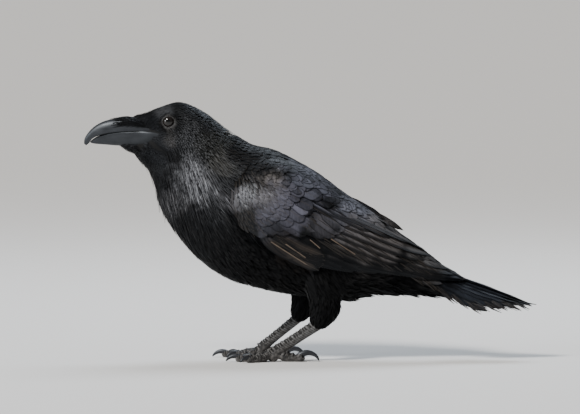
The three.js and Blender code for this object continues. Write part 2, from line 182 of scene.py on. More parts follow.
legs = {
    "left": {
        "y": -33, "stout": 1.16, "splay": 5, "shank": [(17, 51), (-44, 11)],
        "thigh": [(8, 116), (15, 96), (20, 79), (20.8, 64), (17.5, 53), (15, 46), (13.5, 41.5)],
        "half": [(27, 19), (25, 18), (20.5, 16), (19, 14.5), (16, 12), (11, 8.5), (6, 5.5)],
    },
    "right": {
        "y": 33, "stout": 1.02, "splay": 2, "shank": [(-8, 55), (-62, 11)],
        "thigh": [(-8, 120), (-4, 100), (-2.5, 82), (-3, 67), (-7.5, 56.5), (-10.5, 50), (-12.5, 45.5)],
        "half": [(26, 19), (24, 18), (20, 16), (18.5, 14.5), (14.5, 12), (9.5, 8.5), (5.5, 5.5)],
    },
}
shankHalf = [(6.6, 5), (6.2, 4.5), (5.9, 4.3), (6, 4.6), (6.8, 6)]
toes = {  # bearing from straight ahead, + outwards; claw is arc length, root radius and sweep
    "middle": {"bearing": 0, "length": 44, "half": (5.2, 4.2), "claw": (22, 3.2, 92)},
    "inner": {"bearing": -25, "length": 32, "half": (4.9, 4), "claw": (19.5, 3, 95)},
    "outer": {"bearing": 26, "length": 36, "half": (4.8, 3.8), "claw": (18, 2.8, 95)},
    "hallux": {"bearing": 176, "length": 34, "half": (5.6, 4.8), "claw": (32, 3.8, 122)},
}
foot = {"sole": 0.6, "knuckle": 4, "pads": 3, "swell": 0.13, "clawTip": 0.4, "voxel": 0.62}


def thighSurface(leg):
    def surface(place, turn, grow=0.0):  # turn 0 is the rear edge
        centre, half = curve(leg["thigh"], place), curve(leg["half"], place)
        return stack(
            centre[..., 0] + np.cos(turn) * (half[..., 0] + grow),
            leg["y"] + np.sin(turn) * (half[..., 1] + grow) * np.sign(leg["y"]),
            centre[..., 1])
    return surface


def toeWay(leg, toe):
    turn = math.radians(leg["splay"] + toe["bearing"])
    return np.array([-math.cos(turn), math.sin(turn) * np.sign(leg["y"]), 0])


def toePath(leg, toe, steps):
    way = toeWay(leg, toe)
    f = np.linspace(0, 1, steps + 1)
    bulge = 1 + foot["swell"] * np.cos(2 * math.pi * foot["pads"] * f)
    half = (toe["half"][0] + (toe["half"][1] - toe["half"][0]) * f) * bulge
    arch = foot["knuckle"] * np.exp(-((f - 0.12) / 0.2) ** 2)
    reach = 2 + (toe["length"] - 2) * f
    start = leg["shank"][1]
    path = stack(start[0] + way[0] * reach, leg["y"] + way[1] * reach, half - foot["sole"] + arch)
    return path, stack(half, half * 0.92)


def clawPath(leg, toe, steps):
    way = toeWay(leg, toe)
    length, root, sweep = toe["claw"][0], toe["claw"][1], math.radians(toe["claw"][2])
    radius = length / sweep
    startZ = toe["half"][1] * (1 + foot["swell"]) - foot["sole"] + 0.6
    first = sweep / 2 + math.asin((2 * foot["clawTip"] - startZ) / (2 * radius * math.sin(sweep / 2)))
    f = np.linspace(0, 1, steps + 1)
    turn = first - sweep * f
    ahead = toe["length"] - 2.5 + radius * (math.sin(first) - np.sin(turn))
    thick = foot["clawTip"] + (root * 1.22 - foot["clawTip"]) * (1 - f) ** 0.6
    start = leg["shank"][1]
    path = stack(start[0] + way[0] * ahead, leg["y"] + way[1] * ahead,
                 startZ + radius * (np.cos(turn) - math.cos(first)))
    return path, stack(thick, thick * 0.8)


# Meshes from rings and chains

def newMesh(name, points, faces):
    mesh = bpy.data.meshes.new(name)
    mesh.from_pydata((points * mm).tolist(), [], [list(f) for f in faces])
    mesh.update()
    shape = bpy.data.objects.new(name, mesh)
    bpy.context.scene.collection.objects.link(shape)
    for polygon in mesh.polygons:
        polygon.use_smooth = True
    return shape


def closedLoft(name, rings):  # rings of equal length, shape (rings, points, 3)
    count, n = rings.shape[:2]
    faces = []
    for r in range(count - 1):
        for k in range(n):
            j = (k + 1) % n
            faces.append((r * n + k, r * n + j, (r + 1) * n + j, (r + 1) * n + k))
    faces.append(tuple(range(n))[::-1])
    faces.append(tuple((count - 1) * n + k for k in range(n)))
    shape = newMesh(name, rings.reshape(-1, 3), faces)
    return facingOut(shape)


def facingOut(shape):
    mesh = shape.data
    points = np.array([v.co for v in mesh.vertices])
    mesh.calc_loop_triangles()
    tri = np.array([t.vertices for t in mesh.loop_triangles])
    a, b, c = points[tri[:, 0]], points[tri[:, 1]], points[tri[:, 2]]
    if np.einsum("ij,ij->i", a, np.cross(b, c)).sum() < 0:
        mesh.flip_normals()
    return shape


def ovalChain(path, halves, ring=24):  # rings square to a path in space
    way = np.gradient(path, axis=0)
    side = unit(np.stack([-way[:, 1], way[:, 0], np.zeros(len(way))], axis=-1) + np.array([0, 1e-6, 0]))
    up = unit(np.cross(side, way))
    turn = np.linspace(0, 2 * math.pi, ring, endpoint=False)
    return (path[:, None] + up[:, None] * np.cos(turn)[None, :, None] * halves[:, None, :1]
            + side[:, None] * np.sin(turn)[None, :, None] * halves[:, None, 1:])


def settle(shape, **modifiers):  # adds modifiers by kind and applies them all
    for kind, settings in modifiers.items():
        added = shape.modifiers.new(kind, kind)
        for key, value in settings.items():
            setattr(added, key, value)
    bpy.context.view_layer.update()
    made = bpy.data.meshes.new_from_object(shape.evaluated_get(bpy.context.evaluated_depsgraph_get()))
    shape.modifiers.clear()
    old = shape.data
    shape.data = made
    bpy.data.meshes.remove(old)
    return shape


def joined(name, shapes):
    first = shapes[0]
    with bpy.context.temp_override(active_object=first, selected_editable_objects=shapes,
                                   selected_objects=shapes, object=first):
        bpy.ops.object.join()
    first.name = name
    return first


def verticesOf(shape):
    flat = np.empty(len(shape.data.vertices) * 3)
    shape.data.vertices.foreach_get("co", flat)
    return flat.reshape(-1, 3) / mm


def normalsOf(shape):
    flat = np.empty(len(shape.data.vertices) * 3)
    shape.data.vertices.foreach_get("normal", flat)
    return flat.reshape(-1, 3)


def moveVertices(shape, points):
    shape.data.vertices.foreach_set("co", (points * mm).ravel())
    shape.data.update()


# Feathers are thin closed vanes that follow the surface they grow on

def frameAt(surface, u, v, grow, step=0.02):
    here = surface(u, v, grow)
    alongU = (surface(u + step, v, grow) - surface(u - step, v, grow)) / (2 * step)
    alongV = (surface(u, v + step, grow) - surface(u, v - step, grow)) / (2 * step)
    return here, alongU, alongV


def scatter(surface, uSpan, vSpan, gap, keep=None, cells=140):
    # roots spread evenly over the surface, gap millimetres apart. gap may vary with u and v
    uEdge, vEdge = np.linspace(*uSpan, cells + 1), np.linspace(*vSpan, cells + 1)
    u, v = np.meshgrid((uEdge[1:] + uEdge[:-1]) / 2, (vEdge[1:] + vEdge[:-1]) / 2, indexing="ij")
    here, alongU, alongV = frameAt(surface, u, v, 0.0, step=0.01)
    area = np.linalg.norm(np.cross(alongU, alongV), axis=-1) * (uEdge[1] - uEdge[0]) * (vEdge[1] - vEdge[0])
    spacing = gap(u, v) if callable(gap) else gap
    share = area / spacing ** 2
    if keep is not None:
        share = share * keep(u, v, here)
    total = int(share.sum())
    k = np.arange(total) + 0.5
    first, second = (k * 0.7548776662) % 1, (k * 0.5698402910) % 1
    marginal = np.concatenate([[0], np.cumsum(share.sum(1))])
    uOut = np.interp(first * marginal[-1], marginal, uEdge)
    row = np.clip(np.searchsorted(uEdge, uOut) - 1, 0, cells - 1)
    vOut = np.empty(total)
    for r in np.unique(row):
        chosen = row == r
        slope = np.concatenate([[0], np.cumsum(share[r])])
        vOut[chosen] = np.interp(second[chosen] * slope[-1], slope, vEdge)
    return uOut, vOut


profiles = {  # half width along a vane, from root to tip
    "round": lambda s: np.minimum(1, 0.3 + 3.2 * s) * np.sqrt(1 - np.clip((s - 0.62) / 0.385, 0, 1) ** 2.2),
    "oval": lambda s: np.minimum(1, 0.35 + 2.4 * s) * (1 - np.clip((s - 0.35) / 0.66, 0, 1) ** 2.4) ** 0.8,
    "lance": lambda s: np.minimum(1, 0.35 + 2.2 * s) * (1 - np.clip((s - 0.25) / 0.76, 0, 1) ** 1.5),
    "bristle": lambda s: 1 - 0.85 * s,
    "pointed": lambda s: np.minimum(1, 0.4 + 2.5 * s) * (1 - np.clip((s - 0.66) / 0.345, 0, 1) ** 1.7) ** 0.8,
    "quill": lambda s: np.minimum(1, 0.4 + 2.5 * s) * (1 - np.clip((s - 0.72) / 0.285, 0, 1) ** 2.3) ** 0.62,
}
sections = {  # a vane's section: places across and which side of the vane they are on
    2: ([-1, 0, 1, 0], [0, 1, 0, -1], [(0, 1, 2, 3)]),
    3: ([-1, 0, 1, 1, 0, -1], [1, 1, 1, -1, -1, -1], [(0, 1, 4, 5), (1, 2, 3, 4)]),
    5: ([-1, -0.5, 0, 0.5, 1, 1, 0.5, 0, -0.5, -1], [1, 1, 1, 1, 1, -1, -1, -1, -1, -1],
        [(0, 1, 8, 9), (1, 2, 7, 8), (2, 3, 6, 7), (3, 4, 5, 6)]),
}


def vanes(surface, u, v, look, patch, out=1, heading=0.0, size=1.0, tone=0.0, paths=None):
    # Each vane walks over the surface from its root. look gives length, width, depth of the
    # root, lift of the tip, steps, columns and profile, and how much the vanes vary.
    n, steps = len(u), look["steps"]
    vary = 1 + look.get("vary", 0.12) * rng.uniform(-1, 1, n)
    length = look["length"] * size * vary
    halfWidth = look["width"] / 2 * size * vary * (1 + 0.08 * rng.uniform(-1, 1, n))
    depth = look["depth"](u) if callable(look["depth"]) else look["depth"]
    lift = look.get("lift", 0.3) * rng.uniform(0.35, 1.65, n) + look.get("layer", 0.0)
    heading = heading + look.get("stray", 0.06) * rng.normal(0, 1, n)
    s = np.linspace(0, 1, steps + 1)
    centre, normal = np.empty((2, steps + 1, n, 3))
    cu, cv = np.array(u, float), np.array(v, float)
    for k in range(steps + 1):
        if paths is not None:
            cu, cv = paths(s[k])
        grow = -depth * (1 - s[k]) ** look.get("rise", 1.3) + lift * s[k]
        centre[k], alongU, alongV = frameAt(surface, cu, cv, grow)
        normal[k] = out * unit(np.cross(alongU, alongV))
        cu = cu + np.cos(heading) * length / steps / np.linalg.norm(alongU, axis=-1)
        cv = cv + np.sin(heading) * length / steps / np.linalg.norm(alongV, axis=-1)
    way = unit(np.gradient(centre, axis=0))
    side = unit(np.cross(normal, way))
    sway = look.get("sway", 0.0) * rng.normal(0, 1, n)[None, :, None] * (s ** 2)[:, None, None]
    centre = centre + side * sway
    up = unit(np.cross(way, side))
    twist = (look.get("twist", 0.1) * rng.normal(0, 1, n) + look.get("bank", 0.0))[None, :, None]
    side, up = side * np.cos(twist) + up * np.sin(twist), up * np.cos(twist) - side * np.sin(twist)

    places, level, caps = (np.array(part) for part in sections[look["columns"]])
    ring = len(places)
    half = np.maximum(profiles[look["profile"]](s)[:, None] * halfWidth, look.get("thick", 0.12) * 0.8)[..., None]
    uneven = look.get("ragged", 0.0) * rng.uniform(-1, 1, (steps + 1, n, ring)) * (s > 0.3)[:, None, None]
    across = places * half * (1 + uneven)
    thick = look.get("thick", 0.12) * (1 - 0.6 * s)[:, None, None]
    height = level * thick / 2 - look.get("camber", 0.25) * places ** 2 * half
    points = centre[:, :, None] + side[:, :, None] * across[..., None] + up[:, :, None] * height[..., None]

    k, j = np.arange(steps)[:, None] * ring, np.arange(ring)[None]
    beside = (j + 1) % ring
    walls = np.stack([k + j, k + ring + j, k + ring + beside, k + beside], axis=-1).reshape(-1, 4)
    ends = np.concatenate([caps, caps[:, ::-1] + steps * ring])
    first = (np.arange(n) * (steps + 1) * ring)[:, None, None]
    faces = (first + np.concatenate([walls, ends])[None]).reshape(-1, 4)
    # on the bake map a vane is cut along one edge and opened flat, its end caps above and below
    wallUv = stack(0.06 + 0.88 * (k[..., None] / ring + [0, 1, 1, 0]) / steps, (j[..., None] + [0, 0, 1, 1]) / ring)
    capTurn = (np.arange(len(caps))[:, None] + [0.1, 0.9, 0.9, 0.1]) / len(caps)
    capUv = stack(np.array([0, 0, 0.05, 0.05]), capTurn)
    opened = np.concatenate([wallUv.reshape(-1, 2), capUv.reshape(-1, 2), capUv.reshape(-1, 2) + (0.95, 0)])
    bakeUv = (patch[:, None] + (opened - 0.5) * bakePatch).reshape(-1, 2)
    vaneUv = stack(s[:, None, None] * length[None, :, None], across)
    tones = np.repeat(tone + look.get("toneVary", 0.35) * rng.normal(0, 1, n), (steps + 1) * ring)
    rim = look.get("rim", 1.0) * np.maximum(np.abs(places), (s ** 6)[:, None, None]) + 0 * across
    byVane = lambda field: field.transpose(1, 0, 2, 3).reshape(-1, field.shape[-1])
    return {"points": byVane(points), "faces": faces, "vane": byVane(vaneUv), "bake": bakeUv, "tone": tones,
            "rim": byVane(rim[..., None])[:, 0]}


bakePatch = 0.003  # side of a feather's patch on the bake map


def coatPiece(name, bundles, finish, nodes=()):
    offsets = np.cumsum([0] + [len(bundle["points"]) for bundle in bundles])
    faces = np.concatenate([bundle["faces"] + offset for bundle, offset in zip(bundles, offsets)])
    fields = {key: np.concatenate([bundle[key] for bundle in bundles])
              for key in ("points", "vane", "bake", "tone", "rim")}
    mesh = bpy.data.meshes.new(name)
    mesh.vertices.add(len(fields["points"]))
    mesh.vertices.foreach_set("co", (fields["points"] * mm).ravel())
    mesh.loops.add(faces.size)
    mesh.loops.foreach_set("vertex_index", faces.ravel())
    mesh.polygons.add(len(faces))
    mesh.polygons.foreach_set("loop_start", np.arange(len(faces)) * 4)
    mesh.polygons.foreach_set("use_smooth", np.ones(len(faces), bool))
    for layerName, places in (("OFBake", fields["bake"]), ("vane", (fields["vane"] * mm)[faces.ravel()])):
        mesh.uv_layers.new(name=layerName).data.foreach_set("uv", places.ravel())
    for key in ("tone", "rim"):
        mesh.attributes.new(key, "FLOAT", "POINT").data.foreach_set("value", fields[key])
    mesh.update(calc_edges=True)
    mesh.set_sharp_from_angle(angle=math.radians(40))
    mesh.materials.append(finish)
    piece = bpy.data.objects.new(name, mesh)
    bpy.context.scene.collection.objects.link(piece)
    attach(piece, "root")
    if nodes:
        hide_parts(*nodes)
    print(f"{name}: {len(faces) * 2} triangles")
    return piece


# Finishes

class Shade:  # one socket of a node tree, with arithmetic that adds Math nodes
    def __init__(self, tree, socket=None):
        self.tree, self.socket = tree, socket

    def node(self, kind, settings=None, values=None, out=0):
        made = self.tree.nodes.new(kind)
        for key, value in (settings or {}).items():
            if key == "stops":
                for stop, (place, colour) in zip(made.color_ramp.elements, value):
                    stop.position, stop.color = place, colour
            else:
                setattr(made, key, value)
        for key, value in (values or {}).items():
            socket = made.inputs[key] if isinstance(key, int) else next(
                s for s in made.inputs if key in (s.identifier, s.name))
            if isinstance(value, Shade):
                self.tree.links.new(value.socket, socket)
            else:
                socket.default_value = value
        socket = made.outputs[out] if isinstance(out, int) else next(
            s for s in made.outputs if out in (s.identifier, s.name))
        return Shade(self.tree, socket)

    def math(self, operation, first, second=0.0, clamp=False):
        return self.node("ShaderNodeMath", {"operation": operation, "use_clamp": clamp}, {0: first, 1: second})

    def __add__(self, other): return self.math("ADD", self, other)
    def __radd__(self, other): return self.math("ADD", other, self)
    def __sub__(self, other): return self.math("SUBTRACT", self, other)
    def __rsub__(self, other): return self.math("SUBTRACT", other, self)
    def __mul__(self, other): return self.math("MULTIPLY", self, other)
    def __rmul__(self, other): return self.math("MULTIPLY", other, self)
    def __truediv__(self, other): return self.math("DIVIDE", self, other)
    def __pow__(self, other): return self.math("POWER", self, other)

    def part(self, name):  # one of x, y or z of a vector
        return self.node("ShaderNodeSeparateXYZ", None, {0: self}, out=name.upper())

    def between(self, low, high):  # 0 at low, 1 at high, eased
        return self.node("ShaderNodeMapRange", {"interpolation_type": "SMOOTHSTEP"},
                         {"Value": self, "From Min": low, "From Max": high})

    def mix(self, mask, first, second):
        return self.node("ShaderNodeMix", {"data_type": "RGBA"},
                         {"Factor_Float": mask, "A_Color": first, "B_Color": second}, out="Result_Color")

    def noise(self, place, scale, detail=3.0, stretch=None):
        if stretch:
            place = self.node("ShaderNodeVectorMath", {"operation": "MULTIPLY"}, {0: place, 1: stretch})
        return self.node("ShaderNodeTexNoise", None, {"Vector": place, "Scale": scale, "Detail": detail}, out="Fac")


def colour(red, green, blue):
    return (red, green, blue, 1.0)


def newFinish(name, **settings):  # a material, its tree's shader and the shade to start from
    finish = bpy.data.materials.new(name)
    finish.use_nodes = True
    shader = finish.node_tree.nodes["Principled BSDF"]
    for key, value in settings.items():
        shader.inputs[key.replace("_", " ")].default_value = value
    return finish, shader, Shade(finish.node_tree)


def plug(shader, key, shade):
    shade.tree.links.new(shade.socket, shader.inputs[key])


# soft patches of colour over the plumage, some of them painted sheen, painted highlight and painted shade: centre x and
# z in metres, radius, colour, strength
markings = {
    # painted highlight: the sun's sheen on the throat hackles and its streaky tail down the throat
    "throatPaintedSheen": ((-0.145, 0.231), 0.033, colour(0.100, 0.102, 0.110), 0.95),
    "throatPaintedSheenStreaks": ((-0.170, 0.200), 0.024, colour(0.036, 0.036, 0.038), 0.75),
    "neckOlive": ((-0.112, 0.266), 0.038, colour(0.010, 0.010, 0.008), 0.8),
    # painted sheen on the side of the neck
    "neckSidePaintedSheen": ((-0.104, 0.252), 0.024, colour(0.037, 0.036, 0.033), 0.7),
    # painted sheen on the crown
    "crownPaintedSheen": ((-0.185, 0.318), 0.016, colour(0.040, 0.041, 0.044), 0.8),
    "lores": ((-0.197, 0.300), 0.015, colour(0.0015, 0.0015, 0.0016), 0.9),
    "cheek": ((-0.176, 0.280), 0.011, colour(0.024, 0.022, 0.020), 0.7),
    "malarShadow": ((-0.191, 0.261), 0.020, colour(0.0010, 0.0010, 0.0011), 0.95),
    # painted highlight on the wrist's front edge, which faces the sun
    "wristPaintedHighlight": ((-0.093, 0.207), 0.019, colour(0.050, 0.049, 0.053), 0.85),
    "greaterGrey": ((0.020, 0.178), 0.028, colour(0.048, 0.047, 0.054), 0.85),
    "shoulderBrown": ((-0.046, 0.221), 0.024, colour(0.078, 0.071, 0.067), 0.85),
    # painted blue sheen of the gloss on the scapulars
    "scapularPaintedBlueSheen": ((0.010, 0.232), 0.046, colour(0.052, 0.054, 0.069), 0.9),
    # painted blue sheen of the gloss on the wing coverts
    "covertPaintedBlueSheen": ((-0.034, 0.194), 0.042, colour(0.062, 0.062, 0.080), 0.9),
    "wristShade": ((-0.080, 0.206), 0.015, colour(0.026, 0.026, 0.030), 0.85),
    # painted light on the coverts behind the wrist, where the wing curves away from the sun
    "wristPaintedLight": ((-0.055, 0.210), 0.017, colour(0.080, 0.078, 0.086), 0.85),
    "covertShade": ((-0.045, 0.170), 0.020, colour(0.016, 0.0165, 0.020), 0.85),
    # painted blue sheen of the gloss on a tertial
    "tertialPaintedBlueSheen": ((0.062, 0.182), 0.036, colour(0.092, 0.096, 0.118), 0.9),
    "alulaBrown": ((-0.034, 0.148), 0.024, colour(0.008, 0.0058, 0.0045), 0.9),
    "primaryCovertBrown": ((-0.006, 0.136), 0.024, colour(0.014, 0.011, 0.009), 0.9),
    "quillBrown": ((0.078, 0.148), 0.052, colour(0.080, 0.074, 0.073), 0.85),
    "quillShade": ((0.046, 0.119), 0.026, colour(0.0025, 0.0025, 0.0025), 0.95),
    "quillShadeRear": ((0.085, 0.112), 0.018, colour(0.0030, 0.0030, 0.0030), 0.9),
    "mantleBlack": ((-0.084, 0.262), 0.024, colour(0.0025, 0.0028, 0.0032), 0.9),
    "quillTips": ((0.145, 0.125), 0.034, colour(0.050, 0.048, 0.048), 0.8),
    # painted highlight: the top light's bluish sheen along the upper tail
    "tailPaintedBlueHighlight": ((0.215, 0.098), 0.048, colour(0.026, 0.030, 0.040), 0.75),
    "underTail": ((0.120, 0.088), 0.034, colour(0.0010, 0.0010, 0.0011), 0.9),
}


def plumageColour(start, place):  # the same markings on the skin and on every feather
    x, y, z = (place.part(name) for name in "xyz")
    wave = start.noise(place, 55.0, 4.0)
    tint = start.mix(wave, colour(0.0018, 0.0018, 0.0018), colour(0.0062, 0.0061, 0.0062))
    for (centreX, centreZ), radius, patchColour, strength in markings.values():
        away = ((x - centreX) ** 2.0 + (z - centreZ) ** 2.0) ** 0.5
        mask = (1.0 - (away + (wave - 0.5) * radius * 1.5).between(radius * 0.35, radius * 1.15)) * strength
        tint = start.mix(mask, tint, patchColour)
    return tint


plumage = {
    "head": {"roughness": 0.42, "specular": 0.12, "streak": (120, 1500), "slant": 0.0, "relief": 0.25, "edge": 0.25,
             "shaft": 0.0},
    "body": {"roughness": 0.38, "specular": 0.13, "streak": (60, 900), "slant": 0.0, "relief": 0.5, "edge": 0.8,
             "shaft": 0.0},
    "belly": {"roughness": 0.50, "specular": 0.045, "streak": (120, 1200), "slant": 0.0, "relief": 0.5, "edge": 0.5,
              "shaft": 0.0},
    "mantle": {"roughness": 0.48, "specular": 0.08, "streak": (900, 90), "slant": 0.9, "relief": 0.5, "edge": 0.8,
               "shaft": 0.2},
    "wing": {"roughness": 0.36, "specular": 0.17, "streak": (900, 90), "slant": 0.9, "relief": 0.55, "edge": 0.85,
             "shaft": 0.5},
}


def featherFinish(name, look):  # streak is how fine the barbs are along and across the vane
    finish, shader, start = newFinish(name, Specular_IOR_Level=look["specular"], Specular_Tint=colour(0.86, 0.91, 1.0))
    place = start.node("ShaderNodeTexCoord", out="Object")
    tone = start.node("ShaderNodeAttribute", {"attribute_name": "tone"}, out="Fac")
    rim = start.node("ShaderNodeAttribute", {"attribute_name": "rim"}, out="Fac")
    vane = start.node("ShaderNodeUVMap", {"uv_map": "vane"})
    across = vane.part("y")
    spread = start.math("ABSOLUTE", across)
    along = vane.part("x") - spread * look["slant"]
    fine, coarse = look["streak"]
    barbPlace = start.node("ShaderNodeCombineXYZ", None, {0: along * fine, 1: across * coarse, 2: tone * 9.0})
    barbs = start.noise(barbPlace, 1.0, 3.0)
    tint = plumageColour(start, place)
    # tone lightens or darkens each feather: at random, set by where it grows, and as painted shade in the notch before
    # the wing and in the slits
    level = start.math("MAXIMUM", 1.0 + tone * 0.75 + (barbs - 0.5) * 1.1, 0.12)
    # darker towards a vane's edges and tip: the feathers' own dark edges, and painted shade between overlapping
    # feathers
    level = level * (1.0 - rim.between(0.62, 1.0) * look["edge"])
    tint = start.node("ShaderNodeMix", {"data_type": "RGBA", "blend_type": "MULTIPLY"}, {
        "Factor_Float": 1.0, "A_Color": tint,
        "B_Color": start.node("ShaderNodeCombineXYZ", None, {0: level, 1: level, 2: level})}, out="Result_Color")
    if look["shaft"]:
        shaft = 1.0 - spread.between(0.0001, 0.0006)
        tint = start.mix(shaft * look["shaft"], tint, colour(0.045, 0.037, 0.030))
    plug(shader, "Base Color", tint)
    plug(shader, "Roughness", look["roughness"] + (barbs - 0.5) * 0.25 + rim.between(0.6, 1.0) * 0.12 - tone * 0.04)
    bump = start.node("ShaderNodeBump", None, {"Strength": look["relief"], "Distance": 0.00022, "Height": barbs})
    plug(shader, "Normal", bump)
    return finish


headFeather = featherFinish("raven_head_feather", plumage["head"])
bodyFeather = featherFinish("raven_body_feather", plumage["body"])
bellyFeather = featherFinish("raven_belly_feather", plumage["belly"])
mantleFeather = featherFinish("raven_mantle_feather", plumage["mantle"])
wingFeather = featherFinish("raven_wing_feather", plumage["wing"])


scutes = {"pitch": 3.1, "width": 0.55, "tilt": 0.35, "bow": 0.02, "strength": 0.9}  # plates down each shank


def scuteSeam(start, place, mottle):  # 1 in the dark seams between the plates of the shanks
    x, y, z = (place.part(name) for name in "xyz")
    runs = []
    for leg in legs.values():
        (topX, topZ), (endX, endZ) = leg["shank"]
        long = math.hypot(endX - topX, endZ - topZ)
        dx, dz = x / mm - topX, z / mm - topZ
        along = (dx * (endX - topX) + dz * (endZ - topZ)) / long
        across = (dx * (topZ - endZ) + dz * (endX - topX)) / long
        runs.append(along + across * scutes["tilt"] + across ** 2.0 * scutes["bow"])
    right = start.math("GREATER_THAN", y, 0.0)
    run = runs[0] * (1.0 - right) + runs[1] * right + mottle * 1.6
    away = start.math("PINGPONG", run, scutes["pitch"] / 2)
    shank = place.part("z").between(0.013, 0.017)
    return (1.0 - away.between(scutes["width"] * 0.3, scutes["width"])) * shank * scutes["strength"]


def skinFinish():  # black skin under the coat, scaled grey skin below the thighs, grey lids
    finish, shader, start = newFinish("raven_skin", Specular_IOR_Level=0.16)
    place = start.node("ShaderNodeTexCoord", out="Object")
    scute = start.node("ShaderNodeAttribute", {"attribute_name": "scute"}, out="Fac")
    lid = start.node("ShaderNodeAttribute", {"attribute_name": "lid"}, out="Fac")
    leg = 1.0 - place.part("z").between(0.054, 0.060)
    mottle = start.noise(place, 420.0, 5.0)
    groove = start.mix(mottle, colour(0.0025, 0.0025, 0.0025), colour(0.012, 0.011, 0.010))
    shank = place.part("z").between(0.012, 0.030)
    paleHorn = start.mix(shank, colour(0.088, 0.083, 0.080), colour(0.115, 0.115, 0.117))
    dullHorn = start.mix(shank, colour(0.020, 0.020, 0.020), colour(0.052, 0.050, 0.048))
    horn = start.mix(start.noise(place, 240.0, 4.0).between(0.30, 0.72), dullHorn, paleHorn)
    seam = scuteSeam(start, place, mottle)
    legColour = start.mix(scute.between(0.30, 0.80), groove, horn)
    legColour = start.mix(seam, legColour, groove)
    lidColour = start.mix(start.noise(place, 900.0).between(0.4, 0.65), colour(0.006, 0.006, 0.006), colour(0.060, 0.059, 0.059))
    tint = start.mix(leg, plumageColour(start, place), legColour)
    plug(shader, "Base Color", start.mix(lid, tint, lidColour))
    plug(shader, "Roughness", 0.62 - leg * 0.16 - scute * 0.08 + mottle * 0.1)
    plug(shader, "Normal", start.node("ShaderNodeBump", None, {
        "Strength": 0.5, "Distance": 0.0003, "Height": start.noise(place, 1600.0, 4.0) - seam * leg * 2.0}))
    return finish


def hornFinish(name, dark, pale, roughness, grainAxis, shade=None):
    finish, shader, start = newFinish(name, Specular_IOR_Level=0.42, Specular_Tint=colour(0.85, 0.92, 1.0))
    place = start.node("ShaderNodeTexCoord", out="Object")
    streak = start.noise(place, 260.0, 5.0, stretch=grainAxis)
    wear = start.noise(place, 75.0, 4.0)
    tint = start.mix((streak * 0.75 + wear * 0.85 - 0.35), dark, pale)
    if shade:  # darkest towards the gape and along the underside
        x, z = place.part("x"), place.part("z")
        gape = (x - z + shade["level"]).between(*shade["gape"])
        tint = start.mix(gape * shade["strength"], tint, dark)
        tint = start.mix((1.0 - (z + wear * 0.006).between(*shade["under"])) * shade["strength"], tint, dark)
        roughness = roughness + gape * 0.35
    plug(shader, "Base Color", tint)
    plug(shader, "Roughness", roughness + streak * 0.2 + wear * 0.1)
    plug(shader, "Normal", start.node("ShaderNodeBump", None, {
        "Strength": 0.35, "Distance": 0.0002, "Height": streak + start.noise(place, 1400.0) * 0.4}))
    return finish


def eyeFinish():  # black pupil, dark brown iris, under a clear wet coat
    finish, shader, start = newFinish("raven_eye", Roughness=0.08, Coat_Weight=0.2, Coat_Roughness=0.02, Specular_IOR_Level=0.35)
    place = start.node("ShaderNodeTexCoord", out="Object")
    x, z = place.part("x") - eye["x"] * mm, place.part("z") - eye["z"] * mm
    away = (x ** 2.0 + z ** 2.0) ** 0.5
    fibre = start.noise(place, 2600.0, 2.0)
    iris = start.mix(fibre, colour(0.003, 0.002, 0.0017), colour(0.010, 0.007, 0.0055))
    rim = away.between(0.0048, 0.0062)
    iris = start.mix(rim, iris, colour(0.006, 0.004, 0.003))
    plug(shader, "Base Color", start.mix(away.between(0.0026, 0.0030), colour(0.001, 0.001, 0.001), iris))
    return finish


billHorn = hornFinish("raven_bill_horn", colour(0.002, 0.0022, 0.0026), colour(0.024, 0.0255, 0.029), 0.27, (0.12, 1, 1),
                      {"gape": (-0.218, -0.198), "level": 0.283, "under": (0.270, 0.281), "strength": 0.92})
clawHorn = hornFinish("raven_claw_horn", colour(0.006, 0.006, 0.007), colour(0.022, 0.022, 0.025), 0.26, (0.3, 1, 0.6))
ravenSkin = skinFinish()
ravenEye = eyeFinish()
print("finishes made")


# The skin is one mesh of head, neck, trunk, wing arms, thighs, shanks, toes and lids

skin = {
    "voxel": 2.2, "smooth": 6,
    "arm": {"along": (6, 214), "sunk": 3.4, "thick": 15},
    "thighCoat": 5.0,
    "lidRadius": 7.75, "lidTube": 1.1, "lidDepth": 16.5,
}


def bodyCore():
    place, turn = np.meshgrid(np.linspace(0, 15, 150), np.linspace(0, 2 * math.pi, 72, endpoint=False), indexing="ij")
    return closedLoft("core_body", bodySurface(place, turn, -curve(body["coat"], place)))


def armCore(side):
    surface = wingSurface(side)
    rings = []
    for f in np.linspace(0, 1, 48):
        along = skin["arm"]["along"][0] + (skin["arm"]["along"][1] - skin["arm"]["along"][0]) * f
        place = np.interp(along, wing["along"], np.arange(len(wing["along"])))
        ridge, wide, low = (curve(wing[key], place) for key in ("ridge", "wide", "low"))
        level = wide + (ridge - wide) * np.cos(np.linspace(math.radians(38), math.pi / 2, 12))
        level = np.concatenate([level, wide + (low + 5 - wide) * np.linspace(0.15, 1, 7)])
        fade = 1 - 0.75 * ramp(f, 0.45, 1)
        outer = surface(along, level, -skin["arm"]["sunk"])
        inner = surface(along, level[::-1], -skin["arm"]["sunk"] - skin["arm"]["thick"] * fade)
        rings.append(np.concatenate([outer, inner]))
    return closedLoft(f"core_arm_{side}", np.array(rings))


def tailCore():
    reach = np.linspace(118, 196, 24)
    rings = []
    for x in reach:
        half = 17 - 9 * (x - 118) / 78
        across = np.linspace(-half, half, 11)
        upper = tailSurface(x, across, -3.0)
        under = tailSurface(x, across[::-1], -5.0 - 5 * (1 - (x - 118) / 78))
        rings.append(np.concatenate([upper, under]))
    return closedLoft("core_tail", np.array(rings))


def thighCore(leg):
    place, turn = np.meshgrid(np.linspace(0, 5.4, 40), np.linspace(0, 2 * math.pi, 36, endpoint=False), indexing="ij")
    thin = -skin["thighCoat"] * (1 - 0.7 * place / 6)
    return closedLoft("core_thigh", thighSurface(leg)(place, turn, thin))


